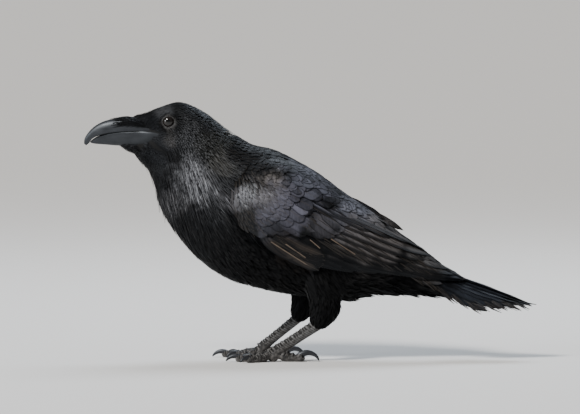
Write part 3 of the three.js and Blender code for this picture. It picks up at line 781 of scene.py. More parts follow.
def shankShape(leg, steps=40):
    top, end = leg["shank"]
    f = np.linspace(0, 1, steps + 1)
    path = stack(top[0] + (end[0] - top[0]) * f, leg["y"] + 0 * f, top[1] + (end[1] - top[1]) * f)
    return path, curve(shankHalf, f * (len(shankHalf) - 1)) * (leg["stout"], 1)


def ballShape(name, centre, radii, rings=20, ring=28):
    polar = np.linspace(0.06, math.pi - 0.06, rings)
    turn = np.linspace(0, 2 * math.pi, ring, endpoint=False)
    points = stack(np.sin(polar)[:, None] * np.cos(turn), np.sin(polar)[:, None] * np.sin(turn), np.cos(polar)[:, None])
    return closedLoft(name, points * np.array(radii) + np.array(centre))


def footCore(name, leg):  # bare shank and toes as one smooth form, then its scutes
    path, halves = shankShape(leg)
    shapes = [closedLoft("core_shank", ovalChain(path, halves, 36))]
    end = leg["shank"][1]
    shapes.append(ballShape("core_ankle", (end[0] - 1, leg["y"], 7 - foot["sole"]), (7.2, 6.6, 6.8)))
    chains = [(path, halves, 0)]
    for number, toe in enumerate(toes.values()):
        toeLine, toeHalf = toePath(leg, toe, 48)
        shapes.append(closedLoft("core_toe", ovalChain(toeLine, toeHalf, 24)))
        tip = toeLine[-1]
        shapes.append(ballShape("core_pad", tip, (toeHalf[-1, 0] * 1.02,) * 3, 12, 18))
        chains.append((toeLine, toeHalf, 1 + number))
    whole = joined(name, shapes)
    settle(whole, REMESH={"mode": "VOXEL", "voxel_size": foot["voxel"] * mm},
           SMOOTH={"factor": 0.5, "iterations": 2})
    points, normals = verticesOf(whole), normalsOf(whole)
    best = np.full(len(points), 1e9)
    groove = np.zeros(len(points))
    for line, half, kind in chains:
        gaps = np.linalg.norm(points[:, None] - line[None], axis=-1)
        nearest = gaps.argmin(1)
        near = gaps[np.arange(len(points)), nearest] - half[nearest, 0]
        way = unit(np.gradient(line, axis=0))[nearest]
        offset = points - line[nearest]
        f = (nearest + np.einsum("ij,ij->i", offset, way) / np.linalg.norm(line[1] - line[0])) / (len(line) - 1)
        upper = np.einsum("ij,ij->i", unit(offset), unit(np.cross(way, [0, 1, 0]) * [[1, 0, 1]]))
        upper = np.abs(upper) * np.sign(offset[:, 2] - offset[:, 0] * (0.8 if kind == 0 else 0))
        count = 16 if kind == 0 else max(6, round(np.linalg.norm(line[-1] - line[0]) / 3.8))
        phase = (f * count + 0.3 * np.abs(offset[:, 1]) / 5 + 0.25 * np.sin(f * 37)) % 1
        gap = 1 - ramp(np.minimum(phase, 1 - phase), 0.14, 0.34)
        value = gap * (ramp(upper, 0.0, 0.35) * (0.7 + 0.3 * f) if kind == 0 else ramp(upper, -0.3, 0.3) * 0.9)
        chosen = near < best
        groove = np.where(chosen, value, groove)
        best = np.where(chosen, near, best)
    points = points + normals * (0.35 - groove * 0.9)[:, None]
    points[:, 2] = np.maximum(points[:, 2], 0.0)
    moveVertices(whole, points)
    attribute = whole.data.attributes.new("scute", "FLOAT", "POINT")
    attribute.data.foreach_set("value", np.clip(1 - groove * 1.15, 0, 1))
    return whole


def lidShape(side):  # a folded ring that hugs the ball of the eye
    turn = np.linspace(0, 2 * math.pi, 120, endpoint=False)
    around = np.linspace(0, 2 * math.pi, 20, endpoint=False)
    bead = 1 + 0.10 * np.sin(34 * turn)[:, None] * np.clip(np.sin(around), 0, 1)[None]
    wide = skin["lidRadius"] * (1 + 0.06 * np.cos(2 * turn))
    tube = skin["lidTube"] * (1 + 0.2 * np.sin(turn)[:, None]) * bead
    reach = wide[:, None] + np.cos(around) * tube
    depth = skin["lidDepth"] + np.sin(around) * tube * 1.05 - 0.45 * np.cos(around)
    rings = stack(eye["x"] + np.cos(turn)[:, None] * reach, side * depth, eye["z"] + np.sin(turn)[:, None] * reach * 0.94)
    n, m = rings.shape[:2]
    faces = [(i * m + j, i * m + (j + 1) % m, ((i + 1) % n) * m + (j + 1) % m, ((i + 1) % n) * m + j)
             for i in range(n) for j in range(m)]
    return facingOut(newMesh("lid", rings.reshape(-1, 3), faces))


def uniteInto(shape, other):
    added = shape.modifiers.new("unite", "BOOLEAN")
    added.operation, added.solver, added.object = "UNION", "MANIFOLD", other
    bpy.context.view_layer.update()
    made = bpy.data.meshes.new_from_object(shape.evaluated_get(bpy.context.evaluated_depsgraph_get()))
    shape.modifiers.clear()
    shape.data = made
    bpy.data.objects.remove(other)
    return shape


cores = [bodyCore(), armCore(-1), armCore(1), tailCore()] + [thighCore(leg) for leg in legs.values()]
ravenBody = joined("raven_skin", cores)
settle(ravenBody, REMESH={"mode": "VOXEL", "voxel_size": skin["voxel"] * mm},
       SMOOTH={"factor": 0.5, "iterations": skin["smooth"]})
for name, leg in legs.items():
    uniteInto(ravenBody, footCore(f"foot_{name}", leg))
for side in (-1, 1):
    uniteInto(ravenBody, lidShape(side))
for polygon in ravenBody.data.polygons:
    polygon.use_smooth = True
skinPoints = verticesOf(ravenBody)
fromEye = np.hypot(skinPoints[:, 0] - eye["x"], skinPoints[:, 2] - eye["z"])
lidMask = (1 - ramp(fromEye, 8.6, 9.2)) * (np.abs(skinPoints[:, 1]) > 12)
ravenBody.data.attributes.new("lid", "FLOAT", "POINT").data.foreach_set("value", lidMask)
ravenBody.data.materials.clear()
ravenBody.data.materials.append(ravenSkin)
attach(ravenBody, "root")
fleshNodes = ["head", "neck", "trunk"]
for side in legs:
    fleshNodes += [f"thigh_{side}", f"shank_{side}"] + [f"toe_{toe}_{side}" for toe in toes]
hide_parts(*fleshNodes)
print(f"skin: {len(ravenBody.data.polygons)} faces, closed and joined")


# The bill, refined from the same ridge, edge and half width as the solids
bill = {
    "upper": {
        "ridge": [(-205, 304), (-218, 306.8), (-231, 308.2), (-244, 306.8), (-255, 304.6), (-264.5, 301),
                  (-273, 295.6), (-279.8, 288.6), (-284.4, 281), (-285.1, 274.6)],
        "edge": [(-197, 290.5), (-211, 291), (-226, 290.6), (-239, 290), (-251, 288.6), (-261, 286.6),
                 (-269, 284), (-275, 280.4), (-278.6, 275.6), (-282.4, 272.4)],
        "half": [13.8, 13.2, 12, 10.3, 8.8, 7.4, 5.9, 4.3, 2.7, 1.0],
    },
    "lower": {
        "ridge": [(-199, 281), (-205, 269), (-217, 270), (-229, 271), (-240, 271.9), (-250, 272.6), (-258, 273.3),
                  (-266, 273.9), (-272.5, 274.6), (-276.8, 275.8)],
        "edge": [(-187.5, 287.4), (-198, 289.4), (-213, 290.4), (-227, 289.9), (-239, 289.3), (-250, 287.9), (-259, 285.9),
                 (-267, 283.2), (-272.6, 280.4), (-277.2, 277.2)],
        "half": [19.6, 16.5, 12.6, 11, 9.2, 7.6, 6.1, 4.5, 2.9, 1],
    },
}


def billShape(name, horn, raised):  # raised is how far the middle stands above the cutting edges
    steps = 90
    place = np.linspace(0, len(horn["half"]) - 1, steps)
    ridge, edge, half = (curve(horn[key], place)[:, None] for key in ("ridge", "edge", "half"))
    turn = np.linspace(0, math.pi, 41)
    rise = signedPower(np.maximum(np.sin(turn), 0), 0.85)[None, :, None]
    outer = edge + (ridge - edge) * rise
    across = signedPower(np.cos(turn), 0.8)[None] * half
    inner = np.linspace(-0.96, 0.96, 15)
    inside = edge + np.array([0, raised]) * (1 - inner[None, :, None] ** 4) * np.minimum(half / 8, 1)[..., None]
    x = np.concatenate([outer[..., 0], inside[..., 0]], axis=1)
    y = np.concatenate([across, inner[None] * half], axis=1)
    z = np.concatenate([outer[..., 1], inside[..., 1]], axis=1)
    return closedLoft(name, stack(x, y, z))


def hornPiece(shape, finish, slot, *nodes):
    shape.data.materials.append(finish)
    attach(shape, "root")
    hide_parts(*nodes)
    return shape


hornPiece(billShape("raven_bill_upper", bill["upper"], 0.6), billHorn, "bill_horn", "bill_upper")
hornPiece(billShape("raven_bill_lower", bill["lower"], 2.2), billHorn, "bill_horn", "bill_lower")
for name, leg in legs.items():
    for toeName, toe in toes.items():
        path, halves = clawPath(leg, toe, 26)
        claw = closedLoft(f"raven_claw_{toeName}_{name}", ovalChain(path, halves, 20))
        hornPiece(claw, clawHorn, "claw_horn", f"claw_{toeName}_{name}")
for name, side in (("left", -1), ("right", 1)):
    ball = ballShape(f"raven_eye_{name}", (eye["x"], side * eye["y"], eye["z"]), (eye["radius"],) * 3, 48, 64)
    hornPiece(ball, ravenEye, "eye", f"eye_{name}")
print("bill, claws and eyes made")


# The coat of head, neck, breast, belly, back, thighs and rump
coats = {
    "head": {"span": (0.2, 5.2), "gap": 1.62, "length": 6.0, "width": 2.0, "steps": 3, "columns": 2,
             "profile": "oval", "lift": 0.12, "stray": 0.05, "twist": 0.08, "thick": 0.1, "toneVary": 0.16},
    "nape": {"span": (4.0, 7.2), "gap": 2.75, "length": 18, "width": 1.6, "steps": 5, "columns": 2,
             "profile": "lance", "lift": 0.2, "stray": 0.04, "twist": 0.10, "thick": 0.14, "toneVary": 0.42,
             "rise": 2.0},
    "hackles": {"span": (2.6, 7.6), "gap": 3.75, "length": 35, "width": 2.5, "steps": 8, "columns": 2,
                "profile": "lance", "lift": 0.9, "stray": 0.05, "twist": 0.3, "thick": 0.2, "toneVary": 1.35,
                "camber": 0.3},
    "breast": {"span": (6.6, 13.2), "gap": 5.2, "length": 27, "width": 8.0, "steps": 5, "columns": 3,
               "profile": "oval", "lift": 0.45, "stray": 0.10, "twist": 0.16, "thick": 0.14, "toneVary": 0.3},
    "vent": {"span": (10.6, 14.9), "gap": 6.0, "length": 34, "width": 8.5, "steps": 7, "columns": 3,
             "profile": "lance", "lift": 2.6, "stray": 0.2, "twist": 0.3, "thick": 0.16, "sway": 2.2,
             "toneVary": 0.2, "ragged": 0.2, "vary": 0.25},
    "rump": {"span": (11.6, 14.9), "gap": 5.4, "length": 24, "width": 9.5, "steps": 5, "columns": 3,
             "profile": "oval", "lift": 0.4, "stray": 0.10, "twist": 0.12, "thick": 0.14, "toneVary": 0.3},
    "thigh": {"span": (1.0, 5.8), "gap": 3.8, "length": 18, "width": 5.0, "steps": 5, "columns": 3,
              "profile": "lance", "lift": 0.9, "stray": 0.16, "twist": 0.25, "thick": 0.12, "sway": 1.0,
              "toneVary": 0.25},
}


def onMap(u, v, uSpan, vSpan):  # where roots lie on the skin unwrapped to a unit square
    return stack(0.02 + 0.96 * (u - uSpan[0]) / (uSpan[1] - uSpan[0]),
                 0.02 + 0.96 * (v - vSpan[0]) / (vSpan[1] - vSpan[0]))


def bodyCoatDepth(place):
    return curve(body["coat"], place)


def bodyBundle(look, keep, heading, size=None, tone=None, layer=None):
    whole = (-math.pi, math.pi)
    u, v = scatter(bodySurface, look["span"], whole, look["gap"], keep)
    here = bodySurface(u, v)
    if layer is not None:
        look = {**look, "layer": layer(u, v, here)}
    sizes = 1.0 if size is None else size(u, v, here)
    tones = 0.0 if tone is None else tone(u, v, here)
    look = {"depth": bodyCoatDepth, **look}
    return vanes(bodySurface, u, v, look, onMap(u, v, look["span"], whole), heading=heading(u, v, here),
                 size=sizes, tone=tones)


def nearLine(here, line, reach):  # 1 on a line of side view points, fading to 0 within reach
    line = np.array(line, float)
    at = np.linspace(0, len(line) - 1, 60)
    fine = np.stack([np.interp(at, np.arange(len(line)), line[:, k]) for k in (0, 1)], axis=1)
    gap = np.hypot(here[..., 0][..., None] - fine[:, 0], here[..., 2][..., None] - fine[:, 1]).min(-1)
    return np.exp(-(gap / reach) ** 2)


def nearWingEdge(here, reach):  # 1 along the wing's leading edge, fading to 0 within reach
    edge = [(-4, 30), (-4, 16), (-3, 4), (2, -8), (10, -21), (22, -33), (42, -42), (62, -47)]
    return nearLine(here, wingSurface(-1)(*np.array(edge).T)[:, [0, 2]], reach)


# painted shadow: darkens the feathers of nape, neck and breast in the crease in front of the wing's leading edge
def notchPaintedShade(u, v, here):
    return -2.2 * nearWingEdge(here, 9) * (np.abs(here[..., 1]) > 22)


def notchLayer(u, v, here):
    return -4.5 * nearWingEdge(here, 8) * (np.abs(here[..., 1]) > 22)


def eyeOffset(here):
    return here[..., 0] - eye["x"], here[..., 2] - eye["z"]


def headHeading(u, v, here):  # feathers part round the eye and drift down the cheek
    dx, dz = eyeOffset(here)
    away = np.hypot(dx, dz)
    part = np.radians(68) * ramp(-away, -19, -7) * ramp(-dx, -8, 2) * np.sign(dz)
    drift = np.radians(9) * ramp(u, 1.0, 3.0) * (np.abs(v) > 0.5)
    return np.sign(v) * (drift - part)


def headLayer(u, v, here):  # thicker against the bill, sunk in the crease behind the gape
    return 1.3 * (1 - ramp(u, 0.9, 1.7)) - 3.2 * nearLine(here, [(-204, 277), (-190, 268), (-170, 259)], 5.0)


def headKeep(u, v, here):
    dx, dz = eyeOffset(here)
    tipX = dx + 4.5 * ramp(np.hypot(dx, dz), 9, 14)
    clear = (np.hypot(dx, dz) > 9.7) & (np.hypot(tipX, dz) > 9.2)
    gape = np.interp(here[..., 2], [266, 276, 281, 285, 288, 291, 295], [-214, -209, -205, -196, -189, -193, -204])
    onBill = (here[..., 0] < gape) & (here[..., 2] < 295) & (here[..., 2] > 266)
    return clear * ~onBill * (1 - ramp(u, 4.1, 5.2)) * (0.45 + 0.55 * (1 - ramp(u, 2.6, 4.2)))


def headSize(u, v, here):  # smallest round the eye and the bill
    away = np.hypot(*eyeOffset(here))
    return 0.52 + 0.45 * ramp(away, 9, 28) + 0.85 * ramp(u, 2.6, 5.0)


coatPiece("raven_coat_head", [
    bodyBundle(coats["head"], headKeep, headHeading, headSize,
               layer=headLayer)], headFeather, ["head"])


def napeKeep(u, v, here):
    throat = ramp(np.abs(v), 1.35, 1.9)
    return (1 - 0.35 * throat) * (~underWing(here, 8))


def backwards(u, v, here):
    return 0.0 * u


coatPiece("raven_coat_nape", [
    bodyBundle(coats["nape"], napeKeep, lambda u, v, here: np.sign(v) * np.radians(7 + 6 * ramp(np.abs(v), 0.6, 1.6)),
               lambda u, v, here: 0.5 + 0.75 * ramp(u, 4, 7), notchPaintedShade, notchLayer)],
    headFeather, ["neck"])


def hackleKeep(u, v, here):
    return ramp(np.abs(v), 1.15, 1.7) * ramp(u, 2.5, 3.2) * (~underWing(here, 4)) * (1 - ramp(u, 7.0, 7.6) * 0.6)


def hackleHeading(u, v, here):
    return np.sign(v) * np.radians(6 + 14 * ramp(math.pi - np.abs(v), 0.15, 1.0))


coatPiece("raven_coat_hackles", [
    bodyBundle(coats["hackles"], hackleKeep, hackleHeading, lambda u, v, here: 0.6 + 0.5 * ramp(u, 2.8, 5.5),
               notchPaintedShade, notchLayer)],
    bodyFeather, ["neck", "trunk"])


def breastKeep(u, v, here):
    return (~underWing(here, 10)) * ramp(np.abs(v), 0.9, 1.2) * 1.0


coatPiece("raven_coat_breast", [
    bodyBundle(coats["breast"], breastKeep, lambda u, v, here: np.sign(v) * np.radians(5), None,
               notchPaintedShade, notchLayer)],
    bellyFeather, ["trunk"])
coatPiece("raven_coat_rump", [
    bodyBundle(coats["rump"], lambda u, v, here: (~underWing(here, 12)) * 1.0, backwards, None),
    bodyBundle(coats["vent"], lambda u, v, here: ramp(np.abs(v), 1.6, 2.1) * 1.0, backwards, None)],
    bellyFeather, ["trunk"])

for name, leg in legs.items():
    look = {"depth": 3.4, **coats["thigh"]}
    surface, whole = thighSurface(leg), (-math.pi, math.pi)
    u, v = scatter(surface, look["span"], whole, look["gap"])
    sizes = 1.15 - 0.3 * ramp(u, 2.5, 5.5)
    bundle = vanes(surface, u, v, {**look, "layer": 1.6 * ramp(u, 4, 5.6)}, onMap(u, v, look["span"], whole), out=np.sign(leg["y"]), size=sizes)
    coatPiece(f"raven_coat_thigh_{name}", [bundle], bellyFeather, [f"thigh_{name}"])


# Flank feathers hang from the side of the body over the top of each thigh, on the outermost of
# the two surfaces, smoothed
flank = {"x": (-34, 62), "z": (56, 138), "cell": 2.0, "smooth": 14, "gap": 4.6, "length": 27, "width": 6.5,
         "depth": 4.0, "steps": 6, "columns": 3, "profile": "lance", "lift": 0.8, "stray": 0.14, "twist": 0.25,
         "thick": 0.14, "sway": 0.8, "toneVary": 0.25, "rise": 1.6}


def flankSurface(side):
    leg = legs["right" if side > 0 else "left"]
    xs = np.arange(flank["x"][0] - 20, flank["x"][1] + 20, flank["cell"])
    zs = np.arange(flank["z"][0] - 20, flank["z"][1] + 20, flank["cell"])
    place, turn = np.meshgrid(np.linspace(6, 13, 500), np.linspace(0, math.pi, 500), indexing="ij")
    thighPlace, thighTurn = np.meshgrid(np.linspace(0, 6, 300), np.linspace(0, math.pi, 200), indexing="ij")
    points = np.concatenate([bodySurface(place, turn).reshape(-1, 3),
                             (thighSurface(leg)(thighPlace, thighTurn) * (1, np.sign(leg["y"]), 1)).reshape(-1, 3)])
    i = np.clip(((points[:, 0] - xs[0]) / flank["cell"]).round().astype(int), 0, len(xs) - 1)
    j = np.clip(((points[:, 2] - zs[0]) / flank["cell"]).round().astype(int), 0, len(zs) - 1)
    reach = np.zeros((len(xs), len(zs)))
    np.maximum.at(reach, (i, j), points[:, 1])
    for _ in range(flank["smooth"]):
        padded = np.pad(reach, 1, mode="edge")
        reach = (padded[:-2, 1:-1] + padded[2:, 1:-1] + padded[1:-1, :-2] + padded[1:-1, 2:] + 2 * reach) / 6

    def surface(x, z, grow=0.0):
        fx = np.clip((x - xs[0]) / flank["cell"], 0, len(xs) - 1.001)
        fz = np.clip((z - zs[0]) / flank["cell"], 0, len(zs) - 1.001)
        i, j = fx.astype(int), fz.astype(int)
        fx, fz = fx - i, fz - j
        y = (reach[i, j] * (1 - fx) * (1 - fz) + reach[i + 1, j] * fx * (1 - fz)
             + reach[i, j + 1] * (1 - fx) * fz + reach[i + 1, j + 1] * fx * fz)
        return stack(x, side * (y + grow), z)
    return surface


def flankKeep(x, z, here):
    leg = legs["left" if here[..., 1].mean() < 0 else "right"]
    centre = leg["thigh"][1][0]
    inFront, behind = ramp(x, centre - 24, centre - 14), 1 - ramp(x, centre + 16, centre + 28)
    return inFront * behind * ramp(z, 88, 94) * (1 - ramp(z, 126, 134))


for name, side in (("left", -1), ("right", 1)):
    surface = flankSurface(side)
    x, z = scatter(surface, flank["x"], flank["z"], flank["gap"], flankKeep)
    bundle = vanes(surface, x, z, flank, onMap(x, z, flank["x"], flank["z"]), out=-side,
                   heading=-np.radians(62 - 22 * ramp(x, 0, 50)))
    coatPiece(f"raven_coat_flank_{name}", [bundle], bellyFeather, [f"thigh_{name}"])


# Bristles over the nostrils and under the chin
bristles = {
    "nose": {"from": (-0.6, 2.5), "span": (-1.24, 1.24), "gap": 1.05, "length": 13, "width": 1.1, "depth": 0.6,
             "steps": 6, "columns": 2, "profile": "bristle", "lift": 0.5, "layer": 0.5, "stray": 0.10, "vary": 0.3,
             "twist": 0.4, "thick": 0.3, "sway": 0.6, "toneVary": 0.4},
    "chin": {"centre": (-213, 266.4), "semi": (33, 8.5, 5.8), "pitch": -18, "from": (0.9, 2.8),
             "span": (0.9, 5.4), "gap": 1.4, "length": 15, "width": 0.8, "depth": 1.2, "steps": 6,
             "columns": 2, "profile": "bristle", "lift": 1.7, "stray": 0.28, "twist": 0.4, "thick": 0.2,
             "sway": 1.4, "toneVary": 0.4, "vary": 0.4},
    "beard": {"span": (0.5, 4.3), "gap": 4.2, "length": 17, "width": 0.9, "steps": 7, "columns": 2,
              "profile": "bristle", "lift": 3.4, "stray": 0.25, "twist": 0.4, "thick": 0.2, "sway": 1.6,
              "toneVary": 0.3, "vary": 0.4, "rise": 1.0},
}


def noseSurface(place, turn, grow=0.0):  # the upper bill, turn 0 is its ridge
    horn = bill["upper"]
    ridge, edge, half = (curve(horn[key], place) for key in ("ridge", "edge", "half"))
    behind = np.minimum(place, 0)[..., None] * np.array([-13, 1.5])
    rise = signedPower(np.cos(turn), 0.85)[..., None]
    out = edge + (ridge - edge) * rise + behind
    return stack(out[..., 0], signedPower(np.sin(turn), 0.8) * (half + grow), out[..., 1] + grow * np.cos(turn))


def tuftSurface(tuft):  # u runs from the rear pole forwards, v goes round from the top
    dip = -math.radians(tuft["pitch"])

    def surface(u, v, grow=0.0):
        a, b, c = (semi + grow for semi in tuft["semi"])
        x, y, z = np.cos(u) * a, np.sin(u) * np.sin(v) * b, np.sin(u) * np.cos(v) * c
        return stack(tuft["centre"][0] + x * math.cos(dip) + z * math.sin(dip), y,
                     tuft["centre"][1] - x * math.sin(dip) + z * math.cos(dip))
    return surface


def bristleKeep(place, turn, here):
    return 1 - 0.8 * ramp(place, 1.2, 2.5)


def bristleBundle(surface, tuft, heading, keep=None):
    u, v = scatter(surface, tuft["from"], tuft["span"], tuft["gap"], keep)
    return vanes(surface, u, v, tuft, onMap(u, v, tuft["from"], tuft["span"]), out=-1, heading=heading)


coatPiece("raven_bristles_nose", [bristleBundle(noseSurface, bristles["nose"], 0.0, bristleKeep)],
          bodyFeather, ["head"])
coatPiece("raven_bristles_chin", [
    bristleBundle(tuftSurface(bristles["chin"]), bristles["chin"], math.pi),
    bodyBundle(bristles["beard"], lambda u, v, here: ramp(np.abs(v), 2.3, 2.8), backwards)],
    bodyFeather, ["head"])
print("body coats made")


# The wing's feathers, row by row. Tips and roots are places along and across the wing's axis in
# millimetres, from the lowest feather of a row to the highest, and layer is their height in it.
wingRows = {
    "primary": {"count": 9, "width": 18, "roots": [(86, -42), (128, 12)], "layer": (-4.2, -1.6), "bow": -2,
                "tips": [(232, -12), (258, -4), (280, 2), (297, 8), (310, 12), (319, 15), (323, 18), (321, 21),
                         (315, 24)]},
    "secondary": {"count": 8, "width": 22, "roots": [(85, -26), (112, 25)], "layer": (-2.8, -0.2), "bow": 1,
                  "tips": [(196, -24), (207, -17), (219, -9), (231, -2), (242, 5), (252, 12), (262, 19), (268, 26)]},
    "tertial": {"count": 4, "width": 26, "roots": [(122, 42), (100, 32)], "layer": (-0.2, 0.8), "bow": 2,
                "tips": [(262, 29), (240, 31), (214, 30), (186, 28)]},
    "primaryCovert": {"count": 9, "width": 11, "roots": [(70, -38), (80, -22)], "layer": (-0.8, 0.4), "bow": -2,
                      "tips": [(144, -42), (147, -36), (146, -30), (142, -25)]},
    "alula": {"count": 3, "width": 12, "roots": [(58, -34), (69, -33)], "layer": (0.6, 1.2), "bow": -3,
              "tips": [(110, -44), (128, -46), (144, -45.5)]},
    "greater": {"count": 11, "width": 19, "length": 40, "heading": -12, "layer": (0.4, 1.0), "bow": 0.5,
                "tips": [(92, -17), (118, -8), (136, 0), (150, 9), (158, 20), (160, 33)]},
    "medianOuter": {"count": 9, "width": 17, "length": 27, "heading": -14, "layer": (0.9, 1.3), "bow": 0.3,
                    "tips": [(70, -30), (88, -12), (101, 8), (106, 28), (99, 45)]},
    "medianMiddle": {"count": 10, "width": 13, "length": 20, "heading": -18, "layer": (1.2, 1.6), "bow": 0.3,
                     "tips": [(55, -28), (70, -12), (82, 6), (87, 25), (82, 43)]},
    "medianInner": {"count": 10, "width": 10.5, "length": 16, "heading": -22, "layer": (1.5, 1.9), "bow": 0.3,
                    "tips": [(44, -28), (57, -14), (67, 2), (72, 20), (68, 38)]},
}
wingLook = {"steps": 12, "columns": 5, "profile": "quill", "depth": 2.2, "lift": 0.15, "stray": 0, "vary": 0.03,
            "twist": 0.02, "bank": 0.15, "camber": 0.05, "thick": 0.75, "ragged": 0.02, "toneVary": 0.4, "rise": 2.2,
            "rim": 1.2}
coverts = {
    "lesser": {"along": 6.0, "across": 2.9, "length": 17.0, "width": 5.0, "depth": 2.6, "steps": 6, "columns": 5,
               "profile": "oval", "lift": 0.2, "layer": 1.7, "stray": 0.06, "twist": 0.06, "camber": 0.05,
               "thick": 0.2, "ragged": 0.05, "toneVary": 0.17, "rise": 3.0, "rim": 0.76},
    "scapular": {"gap": 9.0, "length": 30, "width": 17, "depth": 2.6, "steps": 8, "columns": 5, "profile": "round",
                 "lift": 0.2, "layer": 1.2, "stray": 0.07, "twist": 0.03, "bank": 0.0, "camber": 0.04,
                 "thick": 0.3, "ragged": 0.03, "toneVary": 0.35, "rise": 3.0},
}


def spread(points, count):  # places at even steps along a line of points
    points = np.array(points, float)
    run = np.concatenate([[0], np.cumsum(np.linalg.norm(np.diff(points, axis=0), axis=1))])
    at = np.linspace(0, run[-1], count)
    return np.stack([np.interp(at, run, points[:, k]) for k in (0, 1)], axis=1)


def wingMap(u, v):
    return stack(0.02 + 0.96 * (u + 20) / 350, 0.02 + 0.96 * (v + 60) / 140)


def rowBundle(surface, row, out):
    tips = spread(row["tips"], row["count"]) if len(row["tips"]) != row["count"] else np.array(row["tips"], float)
    count = len(tips)
    if "roots" in row:
        roots = spread(row["roots"], count)
    else:  # coverts lie a little unevenly
        tips = tips + rng.normal(0, 1.9, tips.shape)
        turn = np.radians(row["heading"] + rng.normal(0, 6, count))[:, None]
        roots = tips - row["length"] * np.concatenate([np.cos(turn), np.sin(turn)], axis=1)
    length = np.linalg.norm(tips - roots, axis=1)
    layer = np.linspace(*row["layer"], count)

    def paths(s):
        place = roots + (tips - roots) * s
        return place[:, 0], place[:, 1] + row["bow"] * math.sin(math.pi * s)

    look = {**wingLook, "width": row["width"], "length": length, "layer": layer,
            "bank": -out * wingLook["bank"], "steps": 14 if length.max() > 60 else 9}
    look["depth"] = look["depth"] - layer * 0.5
    if length.max() < 60:
        look.update(profile="round", rim=0.84)
    return vanes(surface, roots[:, 0], roots[:, 1], look, wingMap(roots[:, 0], roots[:, 1]), out=out, paths=paths)


def shingled(look, heading, uSpan, vSpan, keep):  # roots in staggered rows across the heading
    reach = max(uSpan[1] - uSpan[0], vSpan[1] - vSpan[0])
    rows, places = np.meshgrid(np.arange(-reach, reach, look["across"]), np.arange(-reach, reach, look["along"]),
                               indexing="ij")
    places = places + look["along"] * (np.arange(rows.shape[0])[:, None] * 0.382 % 1)
    places = places + rng.normal(0, 0.12 * look["along"], places.shape)
    rows = rows + rng.normal(0, 0.12 * look["across"], rows.shape)
    u = np.mean(uSpan) + places * math.cos(heading) - rows * math.sin(heading)
    v = np.mean(vSpan) + places * math.sin(heading) + rows * math.cos(heading)
    inside = (u > uSpan[0]) & (u < uSpan[1]) & (v > vSpan[0]) & (v < vSpan[1]) & (keep(u, v, None) > 0.5)
    return u[inside], v[inside]


def lesserKeep(along, level, here):
    low = np.interp(along, [-2, 5, 24, 68, 90], [0, -14, -30, -36, -36])
    edge = np.interp(level, [-30, -14, 2, 20, 38], [36, 46, 56, 60, 56])
    return ((level > low) & (along < edge) & (level < 40)) * 1.0


def scapularKeep(along, level, here):  # thickest where the feathers are smallest
    place = np.interp(along, wing["along"], np.arange(len(wing["along"])))
    ridge = curve(wing["ridge"], place)
    lower = np.interp(along, [0, 40, 90, 140], [26, 34, 38, 36])
    return ((level > lower) & (level < ridge - 3)) * (1 + 2.6 * (1 - ramp(along, 5, 75)))


# Dark slits where the barbs of the long feathers have parted, painted near-black as shade in the partings and in the
# gaps between feathers
slits = {"length": 32, "width": 1.9, "depth": 0.4, "steps": 8, "columns": 3, "profile": "lance", "lift": 0.1,
         "layer": 1.3, "stray": 0.0, "thick": 0.25, "toneVary": 0.0, "vary": 0.55, "twist": 0.0, "camber": 0.0,
         "rim": 0.0, "zones": [(84, (98, 250), (-10, 36), -10), (16, (72, 118), (-38, -24), -8),
                               (14, (20, 62), (-30, 10), -40)]}


def slitBundle(surface, out):
    u, v, heading, size = [], [], [], []
    for count, along, level, turn in slits["zones"]:
        u.append(rng.uniform(*along, count))
        v.append(rng.uniform(*level, count) * (1 - 0.35 * ramp(u[-1], 150, 250)))
        heading.append(np.radians(turn + rng.uniform(-5, 5, count)))
        size.append(np.full(count, 1.0 if along[0] > 80 else 0.55))
    u, v, heading, size = (np.concatenate(part) for part in (u, v, heading, size))
    # tone -2.5 paints the slits near-black, as shade
    return vanes(surface, u, v, slits, wingMap(u, v), out=out, heading=heading, size=size, tone=-2.5)


for name, side in (("left", -1), ("right", 1)):
    surface, out = wingSurface(side), -side
    rows = [rowBundle(surface, row, out) for row in wingRows.values()]
    u, v = shingled(coverts["lesser"], math.radians(-34), (2, 84), (-40, 42), lesserKeep)
    far = ramp(u, 0, 62)
    seam = np.exp(-((v - 30) / 4.5) ** 2) * (1 - ramp(u, 30, 50))
    rows.append(vanes(surface, u, v, {**coverts["lesser"], "bank": -out * 0.03}, wingMap(u, v), out=out,
                      heading=np.radians(-44 + 26 * far), size=0.9 + 0.35 * far, tone=-1.0 * seam))
    rows.append(slitBundle(surface, out))
    coatPiece(f"raven_wing_feathers_{name}", rows, wingFeather, [f"wing_{name}"])
    u, v = scatter(surface, (3, 138), (24, 64), coverts["scapular"]["gap"], scapularKeep)
    bundle = vanes(surface, u, v, coverts["scapular"], wingMap(u, v), out=out, heading=np.radians(-8),
                   size=0.45 + 0.65 * ramp(u, 5, 90))
    coatPiece(f"raven_scapulars_{name}", [bundle], mantleFeather, [f"wing_{name}"])

